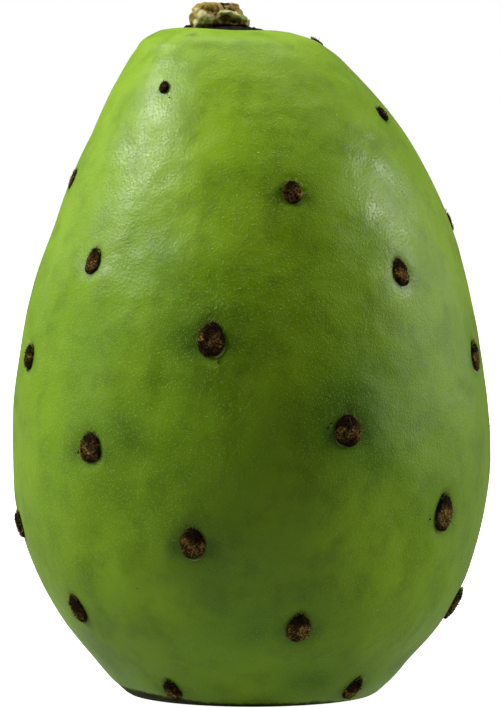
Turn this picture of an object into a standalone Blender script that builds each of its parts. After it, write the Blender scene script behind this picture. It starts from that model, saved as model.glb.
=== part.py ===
"""Prickly pear fruit, as picked, standing on its wide flower end with the stem end up.

Two solids: fruit_body, the whole fruit with its felted areole cushions and its dished flower
scar, and stem_stub, the dry scrap of pad tissue left on the stem scar. Dimensions are in
millimetres and are turned into metres as the meshes are made. The front of the fruit faces -Y.
"""

import math
import random

import bmesh
import bpy
import numpy as np
from mathutils import Vector

MM = 0.001

# Driving dimensions
BODY_HEIGHT = 82.9
WIDEST_RADIUS = 30.0
CLEARANCE = 0.3

# The wall, from the rim of the flower end up to the shoulder: height as a share of BODY_HEIGHT,
# radius as a share of WIDEST_RADIUS, and how far the ring's centre lies towards +X in mm.
# The fruit bends a little to -X at its stem end.
WALL = (
    (0.000, 0.515, 0.10),
    (0.015, 0.566, 0.10),
    (0.050, 0.654, 0.10),
    (0.110, 0.795, 0.10),
    (0.180, 0.900, 0.10),
    (0.265, 0.974, 0.00),
    (0.375, 1.004, 0.00),
    (0.485, 0.980, 0.00),
    (0.605, 0.920, 0.15),
    (0.725, 0.808, 0.35),
    (0.820, 0.694, 0.05),
    (0.893, 0.571, -0.80),
    (0.942, 0.472, -1.55),
    (0.972, 0.398, -2.30),
    (0.988, 0.345, -2.90),
    (1.000, 0.250, -3.25),
)
WALL_RING_STEP = 3.0
RIM_RING_HEIGHTS = (0.15, 0.6, 1.3)
SHOULDER_RING_SHARES = (0.960, 0.976, 0.989, 0.996, 1.000)
AZIMUTH_STEPS = 56

# The flower scar is a dish in the wide end, a little deeper in its middle than at its floor's
# edge, and the fruit rests on the flat ring round it.
DISH_DEPTH = 5.0
DISH_EDGE_DEPTH = 4.7
DISH_FLOOR_RADIUS = 8.0
DISH_SIDE_RINGS = 4
REST_RING_INNER = 13.2
REST_RING_OUTER = 15.0

# The stem scar is a flat disc in the narrow end, with a socket that holds the stub's root.
SCAR_RADIUS = 5.2
SCAR_RISE = 0.1
SOCKET_RADIUS = 2.6
SOCKET_DEPTH = 1.2
SOCKET_TAPER = 0.2

# The stem end is a little higher on its left. The raise is full to the left of the first x, gone
# to the right of the second, and grows between the two heights.
LEFT_RAISE = 0.33
RAISE_FROM_X = -8.4
RAISE_TO_X = -1.5
RAISE_FROM_HEIGHT = 81.5
RAISE_TO_HEIGHT = 82.9

# Slow swellings of the wall: size in mm, lobes round the fruit, turns up its height, start in
# turns. They fade out towards both ends.
SWELLINGS = (
    (0.26, 2, 0.35, 0.10),
    (0.20, 3, -0.60, 0.35),
    (0.14, 5, 0.80, 0.70),
)
SWELLING_FADE = 0.6

# Areoles sit on one spiral, counted from the stem end down. Each turns by nearly the golden
# angle from the one before it and lies one step lower. Azimuth 0 faces -Y and grows towards +X.
FIRST_AREOLE = -2
LAST_AREOLE = 36
SPIRAL_START = -21.0
SPIRAL_TURN = -138.0
SPIRAL_TOP = 74.0
SPIRAL_STEP = 2.09
LOWEST_AREOLE = 2.1
HIGHEST_AREOLE = 79.6
WANDER_TURN = 6.0
WANDER_LIFT = 0.9
SEED = 11

# The areoles that show from the front: number, turn in degrees and lift in mm from the spiral,
# length and width of the cushion in mm. The others wander by seeded draws.
SEEN_AREOLES = (
    (-1, -13.0, 5.3, 1.7, 1.3),
    (0, -15.2, 1.9, 1.5, 1.1),
    (2, 3.3, 2.7, 2.0, 1.4),
    (3, -4.0, -3.2, 2.5, 1.9),
    (5, 2.8, -0.1, 2.8, 2.3),
    (7, 2.0, -0.5, 2.6, 2.1),
    (8, -2.8, -2.4, 3.3, 2.1),
    (10, 3.1, 0.5, 3.4, 2.5),
    (13, 5.3, -0.8, 4.1, 3.2),
    (15, 4.1, 0.1, 3.6, 2.2),
    (16, -0.6, 2.2, 3.1, 2.1),
    (18, 7.5, -1.3, 3.8, 3.2),
    (20, 1.0, 0.3, 3.6, 2.9),
    (21, -1.3, 2.5, 3.6, 3.1),
    (23, 7.9, -1.7, 4.5, 3.1),
    (24, 8.0, -2.5, 3.3, 2.5),
    (26, -4.8, 1.9, 3.9, 3.0),
    (28, 12.0, -4.1, 4.1, 3.2),
    (29, 6.2, -1.3, 3.8, 2.4),
    (31, -8.0, 1.7, 3.9, 2.8),
    (34, 0.4, -0.7, 3.3, 2.0),
    (36, -7.4, 3.4, 3.6, 1.8),
)

# An areole cushion is egg-shaped, with its narrow end towards the stem. They are small and flat
# at the stem end, reach full size some way down the fruit and grow thicker all the way.
CUSHION_LENGTH_TOP = 1.6
CUSHION_LENGTH_GAIN = 2.3
CUSHION_GAIN_OVER = 6.0
CUSHION_ASPECT = 0.78
CUSHION_PROUD_TOP = 0.40
CUSHION_PROUD_STEP = 0.010
CUSHION_SEAT = 0.2
CUSHION_SUNK = 0.9
CUSHION_TAPER = 0.20
CUSHION_SIDES = 10
CUSHION_RINGS = 6
CUSHION_FLOOR_CLEARANCE = 0.2

# Each cushion stands on a low swelling of the rind.
TUBERCLE_RISE = 0.35
TUBERCLE_SPREAD = 5.0

# The stub: squat and torn, a little narrower from front to back than across. Its levels are
# height over its foot, and the x of its left and its right side, in mm.
STUB_DEPTH_SHARE = 0.84
STUB_SIDES = 24
STUB_LEVELS = (
    (0.00, -7.10, -0.40),
    (0.35, -7.50, -0.20),
    (0.90, -7.70, -0.30),
    (1.35, -7.65, -0.80),
    (1.90, -7.40, -1.20),
    (2.40, -7.20, -1.50),
    (2.80, -6.80, -1.75),
    (3.05, -5.90, -2.40),
    (3.10, -4.80, -3.50),
)


def smooth_curve(x, knots, values):
    """Smooth curve through (knots, values), whose slope at each knot is that of its neighbours."""
    slopes = np.gradient(values, knots)
    i = int(np.clip(np.searchsorted(knots, x) - 1, 0, len(knots) - 2))
    gap = knots[i + 1] - knots[i]
    t = min(max((x - knots[i]) / gap, 0.0), 1.0)
    start = (1 + 2 * t) * (1 - t) ** 2 * values[i] + t * (1 - t) ** 2 * gap * slopes[i]
    end = t * t * (3 - 2 * t) * values[i + 1] + t * t * (t - 1) * gap * slopes[i + 1]
    return float(start + end)


def wall_radius(height):
    shares, radii, _ = zip(*WALL)
    return WIDEST_RADIUS * smooth_curve(height / BODY_HEIGHT, shares, radii)


def wall_shift(height):
    shares, _, shifts = zip(*WALL)
    return smooth_curve(height / BODY_HEIGHT, shares, shifts)


def swelling(azimuth, height):
    """How far the slow swellings push the wall out there, in mm."""
    share = min(max(height / BODY_HEIGHT, 0.0), 1.0)
    total = 0.0
    for size, lobes, climb, start in SWELLINGS:
        total += size * math.sin(lobes * azimuth + math.tau * (climb * share + start))
    return total * max(math.sin(math.pi * share), 0.0) ** SWELLING_FADE


def wall_point(azimuth, height, rise=0.0):
    """Point of the swollen wall, or one that lies rise outside it, in mm."""
    radius = wall_radius(height) + swelling(azimuth, height) + rise
    x = wall_shift(height) + radius * math.sin(azimuth)
    return Vector((x, -radius * math.cos(azimuth), height))


def wall_frame(azimuth, height):
    """(side, up, out) directions of the wall there: round the fruit, towards the stem, outward."""
    step = 0.05
    turn = step / WIDEST_RADIUS
    side = wall_point(azimuth + turn, height) - wall_point(azimuth - turn, height)
    up = wall_point(azimuth, height + step) - wall_point(azimuth, height - step)
    out = side.cross(up).normalized()
    side.normalize()
    return side, out.cross(side), out


def areoles():
    """(number, azimuth in radians, height, cushion length and width in mm) of every areole."""
    draw = random.Random(SEED)
    seen = {row[0]: row[1:] for row in SEEN_AREOLES}
    found = []
    for number in range(FIRST_AREOLE, LAST_AREOLE + 1):
        grown = 1.0 - math.exp(-max(number, 0) / CUSHION_GAIN_OVER)
        length = CUSHION_LENGTH_TOP + CUSHION_LENGTH_GAIN * grown
        wander = (draw.uniform(-WANDER_TURN, WANDER_TURN), draw.uniform(-WANDER_LIFT, WANDER_LIFT))
        turn, lift, length, width = seen.get(number, (*wander, length, CUSHION_ASPECT * length))
        azimuth = math.radians(SPIRAL_START + SPIRAL_TURN * number + turn)
        highest = BODY_HEIGHT if number in seen else HIGHEST_AREOLE
        height = min(max(SPIRAL_TOP - SPIRAL_STEP * number + lift, LOWEST_AREOLE), highest)
        found.append((number, azimuth, height, length, width))
    return found


def dish_profile():
    """(radius, height) in mm from the middle of the flower scar out to the rest ring's edge."""
    crown = DISH_DEPTH - DISH_EDGE_DEPTH
    points = [(0.0, DISH_DEPTH), (0.5 * DISH_FLOOR_RADIUS, DISH_DEPTH - 0.25 * crown)]
    for ring in range(DISH_SIDE_RINGS + 1):
        share = ring / DISH_SIDE_RINGS
        radius = DISH_FLOOR_RADIUS + share * (REST_RING_INNER - DISH_FLOOR_RADIUS)
        points.append((radius, DISH_EDGE_DEPTH * (1 - share) ** 2 * (1 + 2 * share)))
    points.append((REST_RING_OUTER, 0.0))
    return points


def wall_profile():
    """(radius, height) in mm up the wall, from the rim of the flower end to the shoulder."""
    last = SHOULDER_RING_SHARES[0] * BODY_HEIGHT
    count = round((last - WALL_RING_STEP) / WALL_RING_STEP)
    heights = list(RIM_RING_HEIGHTS)
    heights += [float(height) for height in np.linspace(WALL_RING_STEP, last, count + 1)[:-1]]
    heights += [share * BODY_HEIGHT for share in SHOULDER_RING_SHARES]
    return [(wall_radius(height), height) for height in heights]


def scar_profile():
    """(radius, height) in mm across the stem scar and down into the middle of its socket."""
    top = BODY_HEIGHT + SCAR_RISE
    floor = BODY_HEIGHT - SOCKET_DEPTH
    return [
        (0.5 * (wall_radius(BODY_HEIGHT) + SCAR_RADIUS), top),
        (SCAR_RADIUS, top),
        (SOCKET_RADIUS, BODY_HEIGHT),
        (SOCKET_RADIUS - SOCKET_TAPER, floor),
        (0.0, floor),
    ]


def eased(value, start, end):
    """0 at the start, 1 at the end, smooth between them and held outside."""
    share = min(max((value - start) / (end - start), 0.0), 1.0)
    return share * share * (3 - 2 * share)


def raised(point):
    """The point lifted by the raise of the stem end's left side."""
    lift = LEFT_RAISE * eased(point.x, RAISE_TO_X, RAISE_FROM_X)
    lift *= eased(point.z, RAISE_FROM_HEIGHT, RAISE_TO_HEIGHT)
    return point + Vector((0.0, 0.0, lift))


def bent(point, places):
    """Moves a point of the turned profile to the fruit's own form: shift, swellings, tubercles."""
    radius = math.hypot(point.x, point.y)
    if radius < wall_radius(BODY_HEIGHT) and point.z > 0.5 * BODY_HEIGHT:
        return raised(point + Vector((wall_shift(BODY_HEIGHT), 0.0, 0.0)))
    if radius <= REST_RING_OUTER + 0.01 and point.z <= DISH_DEPTH:
        return point + Vector((wall_shift(0.0), 0.0, 0.0))
    azimuth = math.atan2(point.x, -point.y)
    place = wall_point(azimuth, point.z)
    rise = 0.0
    for centre in places:
        away = (place - centre).length / TUBERCLE_SPREAD
        rise += TUBERCLE_RISE * math.exp(-away * away)
    return raised(wall_point(azimuth, point.z, rise))


def make_material(name, colour, roughness):
    material = bpy.data.materials.new(name)
    material.use_nodes = True
    shader = material.node_tree.nodes["Principled BSDF"]
    shader.inputs["Base Color"].default_value = (*colour, 1.0)
    shader.inputs["Roughness"].default_value = roughness
    shader.inputs["Metallic"].default_value = 0.0
    return material


def object_from(bm, name):
    """Puts the mesh in an object of that name, in metres, with its faces pointing out."""
    bmesh.ops.recalc_face_normals(bm, faces=bm.faces)
    bmesh.ops.scale(bm, vec=(MM, MM, MM), verts=bm.verts)
    mesh = bpy.data.meshes.new(name)
    bm.to_mesh(mesh)
    bm.free()
    made = bpy.data.objects.new(name, mesh)
    bpy.context.scene.collection.objects.link(made)
    return made


def make_body():
    """Turns the profile round the upright axis, then bends it to the fruit's own form."""
    bm = bmesh.new()
    rows = dish_profile() + wall_profile() + scar_profile()
    points = [bm.verts.new((radius, 0.0, height)) for radius, height in rows]
    edges = [bm.edges.new(pair) for pair in zip(points, points[1:])]
    bmesh.ops.spin(
        bm,
        geom=points + edges,
        cent=(0.0, 0.0, 0.0),
        axis=(0.0, 0.0, 1.0),
        angle=math.tau,
        steps=AZIMUTH_STEPS,
        use_merge=True,
    )
    bmesh.ops.remove_doubles(bm, verts=bm.verts, dist=1e-3)
    places = [wall_point(azimuth, height) for _, azimuth, height, _, _ in areoles()]
    for vert in bm.verts:
        vert.co = bent(vert.co, places)
    return object_from(bm, "fruit_body")


def make_cushion(number, azimuth, height, length, width):
    """One egg-shaped cushion, its root sunk in the rind, as an object of its own."""
    side, up, out = wall_frame(azimuth, height)
    seat = wall_point(azimuth, height, CUSHION_SEAT)
    proud = CUSHION_PROUD_TOP + CUSHION_PROUD_STEP * max(number, 0)
    bm = bmesh.new()
    bmesh.ops.create_uvsphere(bm, u_segments=CUSHION_SIDES, v_segments=CUSHION_RINGS, radius=1.0)
    for vert in bm.verts:
        along = 0.5 * length * vert.co.y
        across = 0.5 * width * vert.co.x * (1.0 - CUSHION_TAPER * vert.co.y)
        outward = vert.co.z * (proud if vert.co.z > 0 else CUSHION_SUNK)
        vert.co = raised(seat + side * across + up * along + out * outward)
        vert.co.z = max(vert.co.z, CUSHION_FLOOR_CLEARANCE)
    return object_from(bm, f"cushion_{number - FIRST_AREOLE:02d}")


def fuse(carrier, pieces):
    """Joins the pieces to the carrier with one Boolean union on a collection, and applies it."""
    group = bpy.data.collections.new("cushions")
    bpy.context.scene.collection.children.link(group)
    for piece in pieces:
        bpy.context.scene.collection.objects.unlink(piece)
        group.objects.link(piece)
    union = carrier.modifiers.new("cushions", "BOOLEAN")
    union.operation = "UNION"
    union.operand_type = "COLLECTION"
    union.collection = group
    union.solver = "EXACT"
    bpy.context.view_layer.update()
    graph = bpy.context.evaluated_depsgraph_get()
    fused = bpy.data.meshes.new_from_object(carrier.evaluated_get(graph), depsgraph=graph)
    carrier.modifiers.clear()
    carrier.data = fused
    for piece in pieces:
        bpy.data.objects.remove(piece)
    bpy.data.collections.remove(group)


def stub_edge(turn):
    """Ragged depth of the stub from above, as a share of its half depth."""
    lobes = ((0.06, 2, 0.4), (0.05, 3, 1.9), (0.035, 5, 0.7))
    return 1.0 + sum(size * math.sin(count * turn + start) for size, count, start in lobes)


def stub_dip(x, y):
    """How far the torn top lies above its mean there, in mm, for x and y in half widths."""
    ridge = 0.12 * math.sin(3.1 * x + 0.8) * math.cos(2.6 * y - 0.5)
    hollow = 0.35 * math.exp(-(((x - 0.25) / 0.35) ** 2) - ((y + 0.1) / 0.4) ** 2)
    return ridge - hollow


def stub_level(bm, height, left, right):
    """One ring of the lump's points."""
    share = height / STUB_LEVELS[-1][0]
    widest = 0.5 * max(right - left for _, left, right in STUB_LEVELS)
    ring = []
    for step in range(STUB_SIDES):
        turn = math.tau * step / STUB_SIDES
        x = 0.5 * (right - left) * math.cos(turn)
        y = 0.5 * (right - left) * STUB_DEPTH_SHARE * stub_edge(turn) * math.sin(turn)
        lifted = height + share**6 * stub_dip(x / widest, y / widest)
        place = (0.5 * (left + right) + x, y, BODY_HEIGHT + SCAR_RISE + CLEARANCE + lifted)
        ring.append(bm.verts.new(raised(Vector(place))))
    return ring


def root_level(bm, height):
    """One ring of the round root's points."""
    radius = SOCKET_RADIUS - SOCKET_TAPER - CLEARANCE
    ring = []
    for step in range(STUB_SIDES):
        turn = math.tau * step / STUB_SIDES
        place = (wall_shift(BODY_HEIGHT) + radius * math.cos(turn), radius * math.sin(turn), height)
        ring.append(bm.verts.new(raised(Vector(place))))
    return ring


def make_stub():
    """A squat torn lump on a round root that sits in the scar's socket with a clearance."""
    bm = bmesh.new()
    rings = [
        root_level(bm, BODY_HEIGHT - SOCKET_DEPTH + CLEARANCE),
        root_level(bm, BODY_HEIGHT + SCAR_RISE + CLEARANCE),
    ]
    rings += [stub_level(bm, *row) for row in STUB_LEVELS]
    for lower, upper in zip(rings, rings[1:]):
        for i in range(STUB_SIDES):
            bm.faces.new((lower[i - 1], lower[i], upper[i], upper[i - 1]))
    bm.faces.new(rings[0])
    bm.faces.new(rings[-1])
    return object_from(bm, "stem_stub")


def main():
    for old in list(bpy.data.objects):
        bpy.data.objects.remove(old)
    body = make_body()
    fuse(body, [make_cushion(*areole) for areole in areoles()])
    body.data.materials.clear()
    body.data.materials.append(make_material("waxy_green_rind", (0.26, 0.49, 0.01), 0.42))
    stub = make_stub()
    stub.data.materials.append(make_material("dry_stub", (0.40, 0.33, 0.12), 0.8))
    for made in (body, stub):
        made.data.shade_smooth()
        made.data.set_sharp_from_angle(angle=math.radians(40))


main()
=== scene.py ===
# %% [markdown]
# A prickly pear fruit stands on its wide flower end, with the dry scrap of its stem on top. The
# fruit comes in as two plain solids at their real size, and they stay where they are. Each finer
# piece below is worked out from the same outline and the same spiral of areoles, so it lies where
# the solid lies. The other way would be to sculpt over the solids by hand, but a formula can be
# read, changed and run again.

# %% Load the two solids and keep their box
import math
import random

import bpy
import numpy as np
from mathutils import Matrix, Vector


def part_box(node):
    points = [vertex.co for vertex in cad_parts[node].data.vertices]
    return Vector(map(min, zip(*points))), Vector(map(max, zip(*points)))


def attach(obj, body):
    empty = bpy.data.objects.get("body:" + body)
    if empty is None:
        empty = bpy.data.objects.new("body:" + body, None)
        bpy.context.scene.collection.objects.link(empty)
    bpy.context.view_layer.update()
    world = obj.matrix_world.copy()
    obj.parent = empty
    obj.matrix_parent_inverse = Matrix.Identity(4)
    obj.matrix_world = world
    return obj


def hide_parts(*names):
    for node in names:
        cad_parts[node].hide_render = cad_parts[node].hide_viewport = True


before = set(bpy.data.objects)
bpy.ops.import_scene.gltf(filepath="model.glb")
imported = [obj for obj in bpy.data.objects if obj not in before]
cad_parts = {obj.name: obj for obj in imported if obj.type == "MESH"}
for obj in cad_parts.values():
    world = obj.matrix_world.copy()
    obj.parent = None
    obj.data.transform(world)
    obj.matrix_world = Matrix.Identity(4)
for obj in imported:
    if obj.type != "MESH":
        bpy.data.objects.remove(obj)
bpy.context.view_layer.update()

MM = 0.001

# %% [markdown]
# A few small formulas come back in nearly every step: a bell curve, a smooth step, vectors scaled
# to length one, and points turned round the fruit's axis. They're written down once, here.

# %% Small formulas
def bell(distance, width):
    """exp of minus (distance / width) squared: 1 at no distance, about a third at the width."""
    return np.exp(-((distance / width) ** 2))


def eased(value, start, end):
    """0 at the start, 1 at the end, smooth between them and held outside."""
    share = np.clip((value - start) / (end - start), 0.0, 1.0)
    return share * share * (3 - 2 * share)


def unit(vectors):
    """The vectors, each divided by its length."""
    return vectors / np.linalg.norm(vectors, axis=-1, keepdims=True)


def all_round(count):
    """A row of azimuths an even step apart."""
    return np.linspace(0.0, math.tau, count, endpoint=False)[None, :]


def turned(radius, azimuth, height, shift=0.0):
    """Points round an axis that is shifted along X. Azimuth 0 is at -Y, and it grows to +X."""
    x, y = shift + radius * np.sin(azimuth), -radius * np.cos(azimuth)
    return np.stack(np.broadcast_arrays(x, y, height), axis=-1)


print("a bell is", bell(1.0, 1.0).round(3), "at its width")

# %% [markdown]
# The wall of the fruit is round in plan and egg-like from the side, and its stem end bends a
# little to one side. A turned vase would be a lathe curve, but here each level also has its own
# centre. So the outline is a short table of levels: height and radius as shares of the whole, and
# the sideways shift of the centre in millimetres. A smooth curve runs through the levels.

# %% Outline of the wall
SCAR_RISE, LEFT_RAISE = 0.1, 0.33
BODY_HEIGHT = float(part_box("fruit_body")[1][2]) / MM - SCAR_RISE - LEFT_RAISE
WIDEST_RADIUS = 30.0
SHARES, RADII, SHIFTS = np.array(
    (
        (0.000, 0.515, 0.10),
        (0.015, 0.566, 0.10),
        (0.050, 0.654, 0.10),
        (0.110, 0.795, 0.10),
        (0.180, 0.900, 0.10),
        (0.265, 0.974, 0.00),
        (0.375, 1.004, 0.00),
        (0.485, 0.980, 0.00),
        (0.605, 0.920, 0.15),
        (0.725, 0.808, 0.35),
        (0.820, 0.694, 0.05),
        (0.893, 0.571, -0.80),
        (0.942, 0.472, -1.55),
        (0.972, 0.398, -2.30),
        (0.988, 0.345, -2.90),
        (1.000, 0.250, -3.25),
    )
).T


def smooth_curve(x, knots, values):
    """Cubic pieces between the knots, whose slope at each knot is that of its two neighbours."""
    slopes = np.gradient(values, knots)
    i = np.clip(np.searchsorted(knots, x) - 1, 0, len(knots) - 2)
    gap = knots[i + 1] - knots[i]
    t = np.clip((x - knots[i]) / gap, 0.0, 1.0)
    start = (1 + 2 * t) * (1 - t) ** 2 * values[i] + t * (1 - t) ** 2 * gap * slopes[i]
    end = t * t * (3 - 2 * t) * values[i + 1] + t * t * (t - 1) * gap * slopes[i + 1]
    return start + end


def wall_radius(height):
    """Radius of the wall in mm at a height in mm."""
    return WIDEST_RADIUS * smooth_curve(height / BODY_HEIGHT, SHARES, RADII)


def wall_shift(height):
    """How far the centre of that level lies towards +X, in mm."""
    return smooth_curve(height / BODY_HEIGHT, SHARES, SHIFTS)


print("body", round(BODY_HEIGHT, 2), "mm tall and", 2 * WIDEST_RADIUS * RADII.max(), "mm wide")

# %% [markdown]
# A real fruit is never quite round. It has a few slow swellings that run round it and climb as
# they go. They are sines of the azimuth and the height, small beside the radius, and they fade
# out at both ends so that the rim and the scar stay round.

# %% Swellings, and a point of the wall
SWELLINGS = ((0.26, 2, 0.35, 0.10), (0.20, 3, -0.60, 0.35), (0.14, 5, 0.80, 0.70))
SWELLING_FADE = 0.6


def swelling(azimuth, height):
    """Sum of size x sin(lobes x azimuth + climb x height), faded by a power of sin(pi x height)."""
    share = np.clip(height / BODY_HEIGHT, 0.0, 1.0)
    total = 0.0
    for size, lobes, climb, start in SWELLINGS:
        total = total + size * np.sin(lobes * azimuth + math.tau * (climb * share + start))
    return total * np.maximum(np.sin(math.pi * share), 0.0) ** SWELLING_FADE


def wall_point(azimuth, height, rise=0.0):
    """Point of the wall at that azimuth and level, or rise mm outside it."""
    radius = wall_radius(height) + swelling(azimuth, height) + rise
    return turned(radius, azimuth, height, wall_shift(height))


def wall_frame(azimuth, height):
    """Unit vectors round the fruit, up the wall and out of it, from differences of wall points."""
    step = 0.05
    turn = step / WIDEST_RADIUS
    side = unit(wall_point(azimuth + turn, height) - wall_point(azimuth - turn, height))
    up = wall_point(azimuth, height + step) - wall_point(azimuth, height - step)
    out = unit(np.cross(side, up))
    return side, np.cross(out, side), out


print("swellings up to", sum(row[0] for row in SWELLINGS), "mm")

# %% [markdown]
# The stem end isn't quite level: its left side stands a third of a millimetre higher. A smooth
# step in x, times a smooth step in height, lifts every point of the end by its share.

# %% The raised side of the stem end
RAISE_FROM_X, RAISE_TO_X = -8.4, -1.5
RAISE_FROM_HEIGHT, RAISE_TO_HEIGHT = 81.5, 82.9


def raised(points):
    """The points with the lift of the stem end's left side added."""
    lift = LEFT_RAISE * eased(points[..., 0], RAISE_TO_X, RAISE_FROM_X)
    lift = lift * eased(points[..., 2], RAISE_FROM_HEIGHT, RAISE_TO_HEIGHT)
    return points + lift[..., None] * (0.0, 0.0, 1.0)


print("left side raised by", LEFT_RAISE, "mm")

# %% [markdown]
# Areoles are the felted cushions that a cactus grows its spines and bristles from. On a prickly
# pear they sit on one spiral: each is turned by nearly the golden angle from the one above it and
# lies a step lower. That rule alone gives the slanting rows that show on every cactus. Real ones
# stray from it by a few degrees. The ones that show in front have their own strays and sizes, and
# the others wander by seeded draws.

# %% The spiral of areoles
FIRST_AREOLE, LAST_AREOLE = -2, 36
SPIRAL_START, SPIRAL_TURN = -21.0, -138.0
SPIRAL_TOP, SPIRAL_STEP = 74.0, 2.09
LOWEST_AREOLE, HIGHEST_AREOLE = 2.1, 79.6
WANDER_TURN, WANDER_LIFT, WANDER_SEED = 6.0, 0.9, 11
CUSHION_LENGTH_TOP, CUSHION_LENGTH_GAIN, CUSHION_ASPECT, GAIN_OVER = 1.6, 2.3, 0.78, 6.0
SEEN_AREOLES = {
    # number: turn in degrees and lift in mm from the spiral, length and width in mm
    -1: (-13.0, 5.3, 1.7, 1.3),
    0: (-15.2, 1.9, 1.5, 1.1),
    2: (3.3, 2.7, 2.0, 1.4),
    3: (-4.0, -3.2, 2.5, 1.9),
    5: (2.8, -0.1, 2.8, 2.3),
    7: (2.0, -0.5, 2.6, 2.1),
    8: (-2.8, -2.4, 3.3, 2.1),
    10: (3.1, 0.5, 3.4, 2.5),
    13: (5.3, -0.8, 4.1, 3.2),
    15: (4.1, 0.1, 3.6, 2.2),
    16: (-0.6, 2.2, 3.1, 2.1),
    18: (7.5, -1.3, 3.8, 3.2),
    20: (1.0, 0.3, 3.6, 2.9),
    21: (-1.3, 2.5, 3.6, 3.1),
    23: (7.9, -1.7, 4.5, 3.1),
    24: (8.0, -2.5, 3.3, 2.5),
    26: (-4.8, 1.9, 3.9, 3.0),
    28: (12.0, -4.1, 4.1, 3.2),
    29: (6.2, -1.3, 3.8, 2.4),
    31: (-8.0, 1.7, 3.9, 2.8),
    34: (0.4, -0.7, 3.3, 2.0),
    36: (-7.4, 3.4, 3.6, 1.8),
}


def areole_places():
    """Rows of number, azimuth in radians, height, cushion length and width, and share grown."""
    draw = random.Random(WANDER_SEED)
    rows = []
    for number in range(FIRST_AREOLE, LAST_AREOLE + 1):
        grown = 1.0 - math.exp(-max(number, 0) / GAIN_OVER)
        length = CUSHION_LENGTH_TOP + CUSHION_LENGTH_GAIN * grown
        wander = (draw.uniform(-WANDER_TURN, WANDER_TURN), draw.uniform(-WANDER_LIFT, WANDER_LIFT))
        unseen = (*wander, length, CUSHION_ASPECT * length)
        turn, lift, length, width = SEEN_AREOLES.get(number, unseen)
        highest = BODY_HEIGHT if number in SEEN_AREOLES else HIGHEST_AREOLE
        height = min(max(SPIRAL_TOP - SPIRAL_STEP * number + lift, LOWEST_AREOLE), highest)
        azimuth = math.radians(SPIRAL_START + SPIRAL_TURN * number + turn)
        rows.append((number, azimuth, height, length, width, grown))
    return np.array(rows)


def by_areole(special, usual=1.0):
    """One value an areole: its own where the table has one, or the usual one."""
    return np.array([special.get(int(number), usual) for number in areole_number])


areoles = areole_places().T
areole_number, areole_azimuth, areole_height, areole_length, areole_width, areole_grown = areoles
half_length, half_width = 0.5 * areole_length, 0.5 * areole_width
areole_seat = wall_point(areole_azimuth, areole_height)
areole_frame = np.stack(wall_frame(areole_azimuth, areole_height))
print(len(areole_number), "areoles, the longest", areole_length.max(), "mm")

# %% [markdown]
# Near each areole the skin isn't flat. It lifts in a low wide swelling, sinks in a shallow dimple
# round the cushion, and has a fine crease at the cushion's edge. All three are bell curves of the
# distance from the areole, and the crease uses an egg-shaped distance, which is 1 on the
# cushion's own outline. The same distances tell the finish where to paint shade: darker green at
# the crease, in a lobe of the cushion's shadow on each side, and faintly on the dimple's wall
# above.

# %% Distances from an areole, the relief round it and its painted shade
CUSHION_TAPER, TAPER_LIMITS = 0.20, (0.55, 1.45)
TUBERCLE_RISE, TUBERCLE_SPREAD = 0.35, 5.0
RELIEF_REACH = 3 * TUBERCLE_SPREAD
DIMPLE_DEPTH, DIMPLE_SPREAD, DIMPLE_LIFT = 0.34, 2.3, 0.35
CREASE_DEPTH, CREASE_WIDTH, CREASE_AT = 0.12, 0.22, 1.1
# Painted shade round the cushions: its soft edge, a shadow lobe on each side and a faint shade
# above.
SHADE_WIDTH, SHADE_POWER = 0.34, 1.3
LOBE_STRENGTH, LOBE_MOST, LOBE_AWAY, LOBE_BELOW, LOBE_SIZE = 0.55, 0.95, 0.8, 0.6, (1.3, 1.8)
SHADE_ABOVE_STRENGTH, SHADE_ABOVE_LIFT, SHADE_ABOVE_SIZE = 0.26, 1.4, (4.8, 5.2)
areole_size = 0.35 + 0.65 * areole_grown
areole_shade_strength = by_areole({5: 1.6, 13: 2.2, 18: 2.1, 20: 1.5, 21: 1.5, 26: 1.7}, 1.1)


def areole_distances(points, which):
    """Along, across and straight distance in mm from one areole, and the egg distance."""
    side, up, _ = areole_frame[:, which]
    away = points - areole_seat[which]
    across, along = away @ side, away @ up
    narrowed = np.clip(1.0 - CUSHION_TAPER * along / half_length[which], *TAPER_LIMITS)
    egg = np.hypot(along / half_length[which], across / (half_width[which] * narrowed))
    return along, across, np.linalg.norm(away, axis=-1), egg


def areole_relief(points):
    """Sum over the areoles of the wide swelling, less the dimple and the crease, in mm."""
    rise = np.zeros(points.shape[:-1])
    for which, size in enumerate(areole_size):
        along, across, straight, egg = areole_distances(points, which)
        near = straight < RELIEF_REACH
        beside = np.hypot(across, along - DIMPLE_LIFT)
        rise += TUBERCLE_RISE * bell(straight, TUBERCLE_SPREAD)
        rise -= near * size * DIMPLE_DEPTH * bell(beside, DIMPLE_SPREAD)
        rise -= near * size * CREASE_DEPTH * bell(egg - CREASE_AT, CREASE_WIDTH)
    return rise


def areole_painted_shade(points):
    """Painted shade by the areoles, 0 to 1: the crease's edge, a shadow lobe on each side, a faint
    shade above.
    """
    shade = np.zeros(points.shape[:-1])
    for which, (size, dark) in enumerate(zip(areole_size, areole_shade_strength)):
        along, across, straight, egg = areole_distances(points, which)
        edge = np.exp(-((np.maximum(egg - 1.0, 0.0) / SHADE_WIDTH) ** SHADE_POWER))
        aside = np.abs(across) - half_width[which] - LOBE_AWAY
        lobes = bell(aside, LOBE_SIZE[0]) * bell(along + LOBE_BELOW, LOBE_SIZE[1])
        lobes = lobes * size * min(LOBE_STRENGTH * dark, LOBE_MOST)
        shade_above = bell(across, SHADE_ABOVE_SIZE[0]) * bell(along - SHADE_ABOVE_LIFT, SHADE_ABOVE_SIZE[1])
        darkest = np.maximum(np.maximum(edge, lobes), SHADE_ABOVE_STRENGTH * dark * size * shade_above)
        shade = np.maximum(shade, np.where(straight < RELIEF_REACH, darkest, 0.0))
    return shade


print("dimples", DIMPLE_DEPTH, "mm deep, creases", CREASE_DEPTH, "mm")
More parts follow.
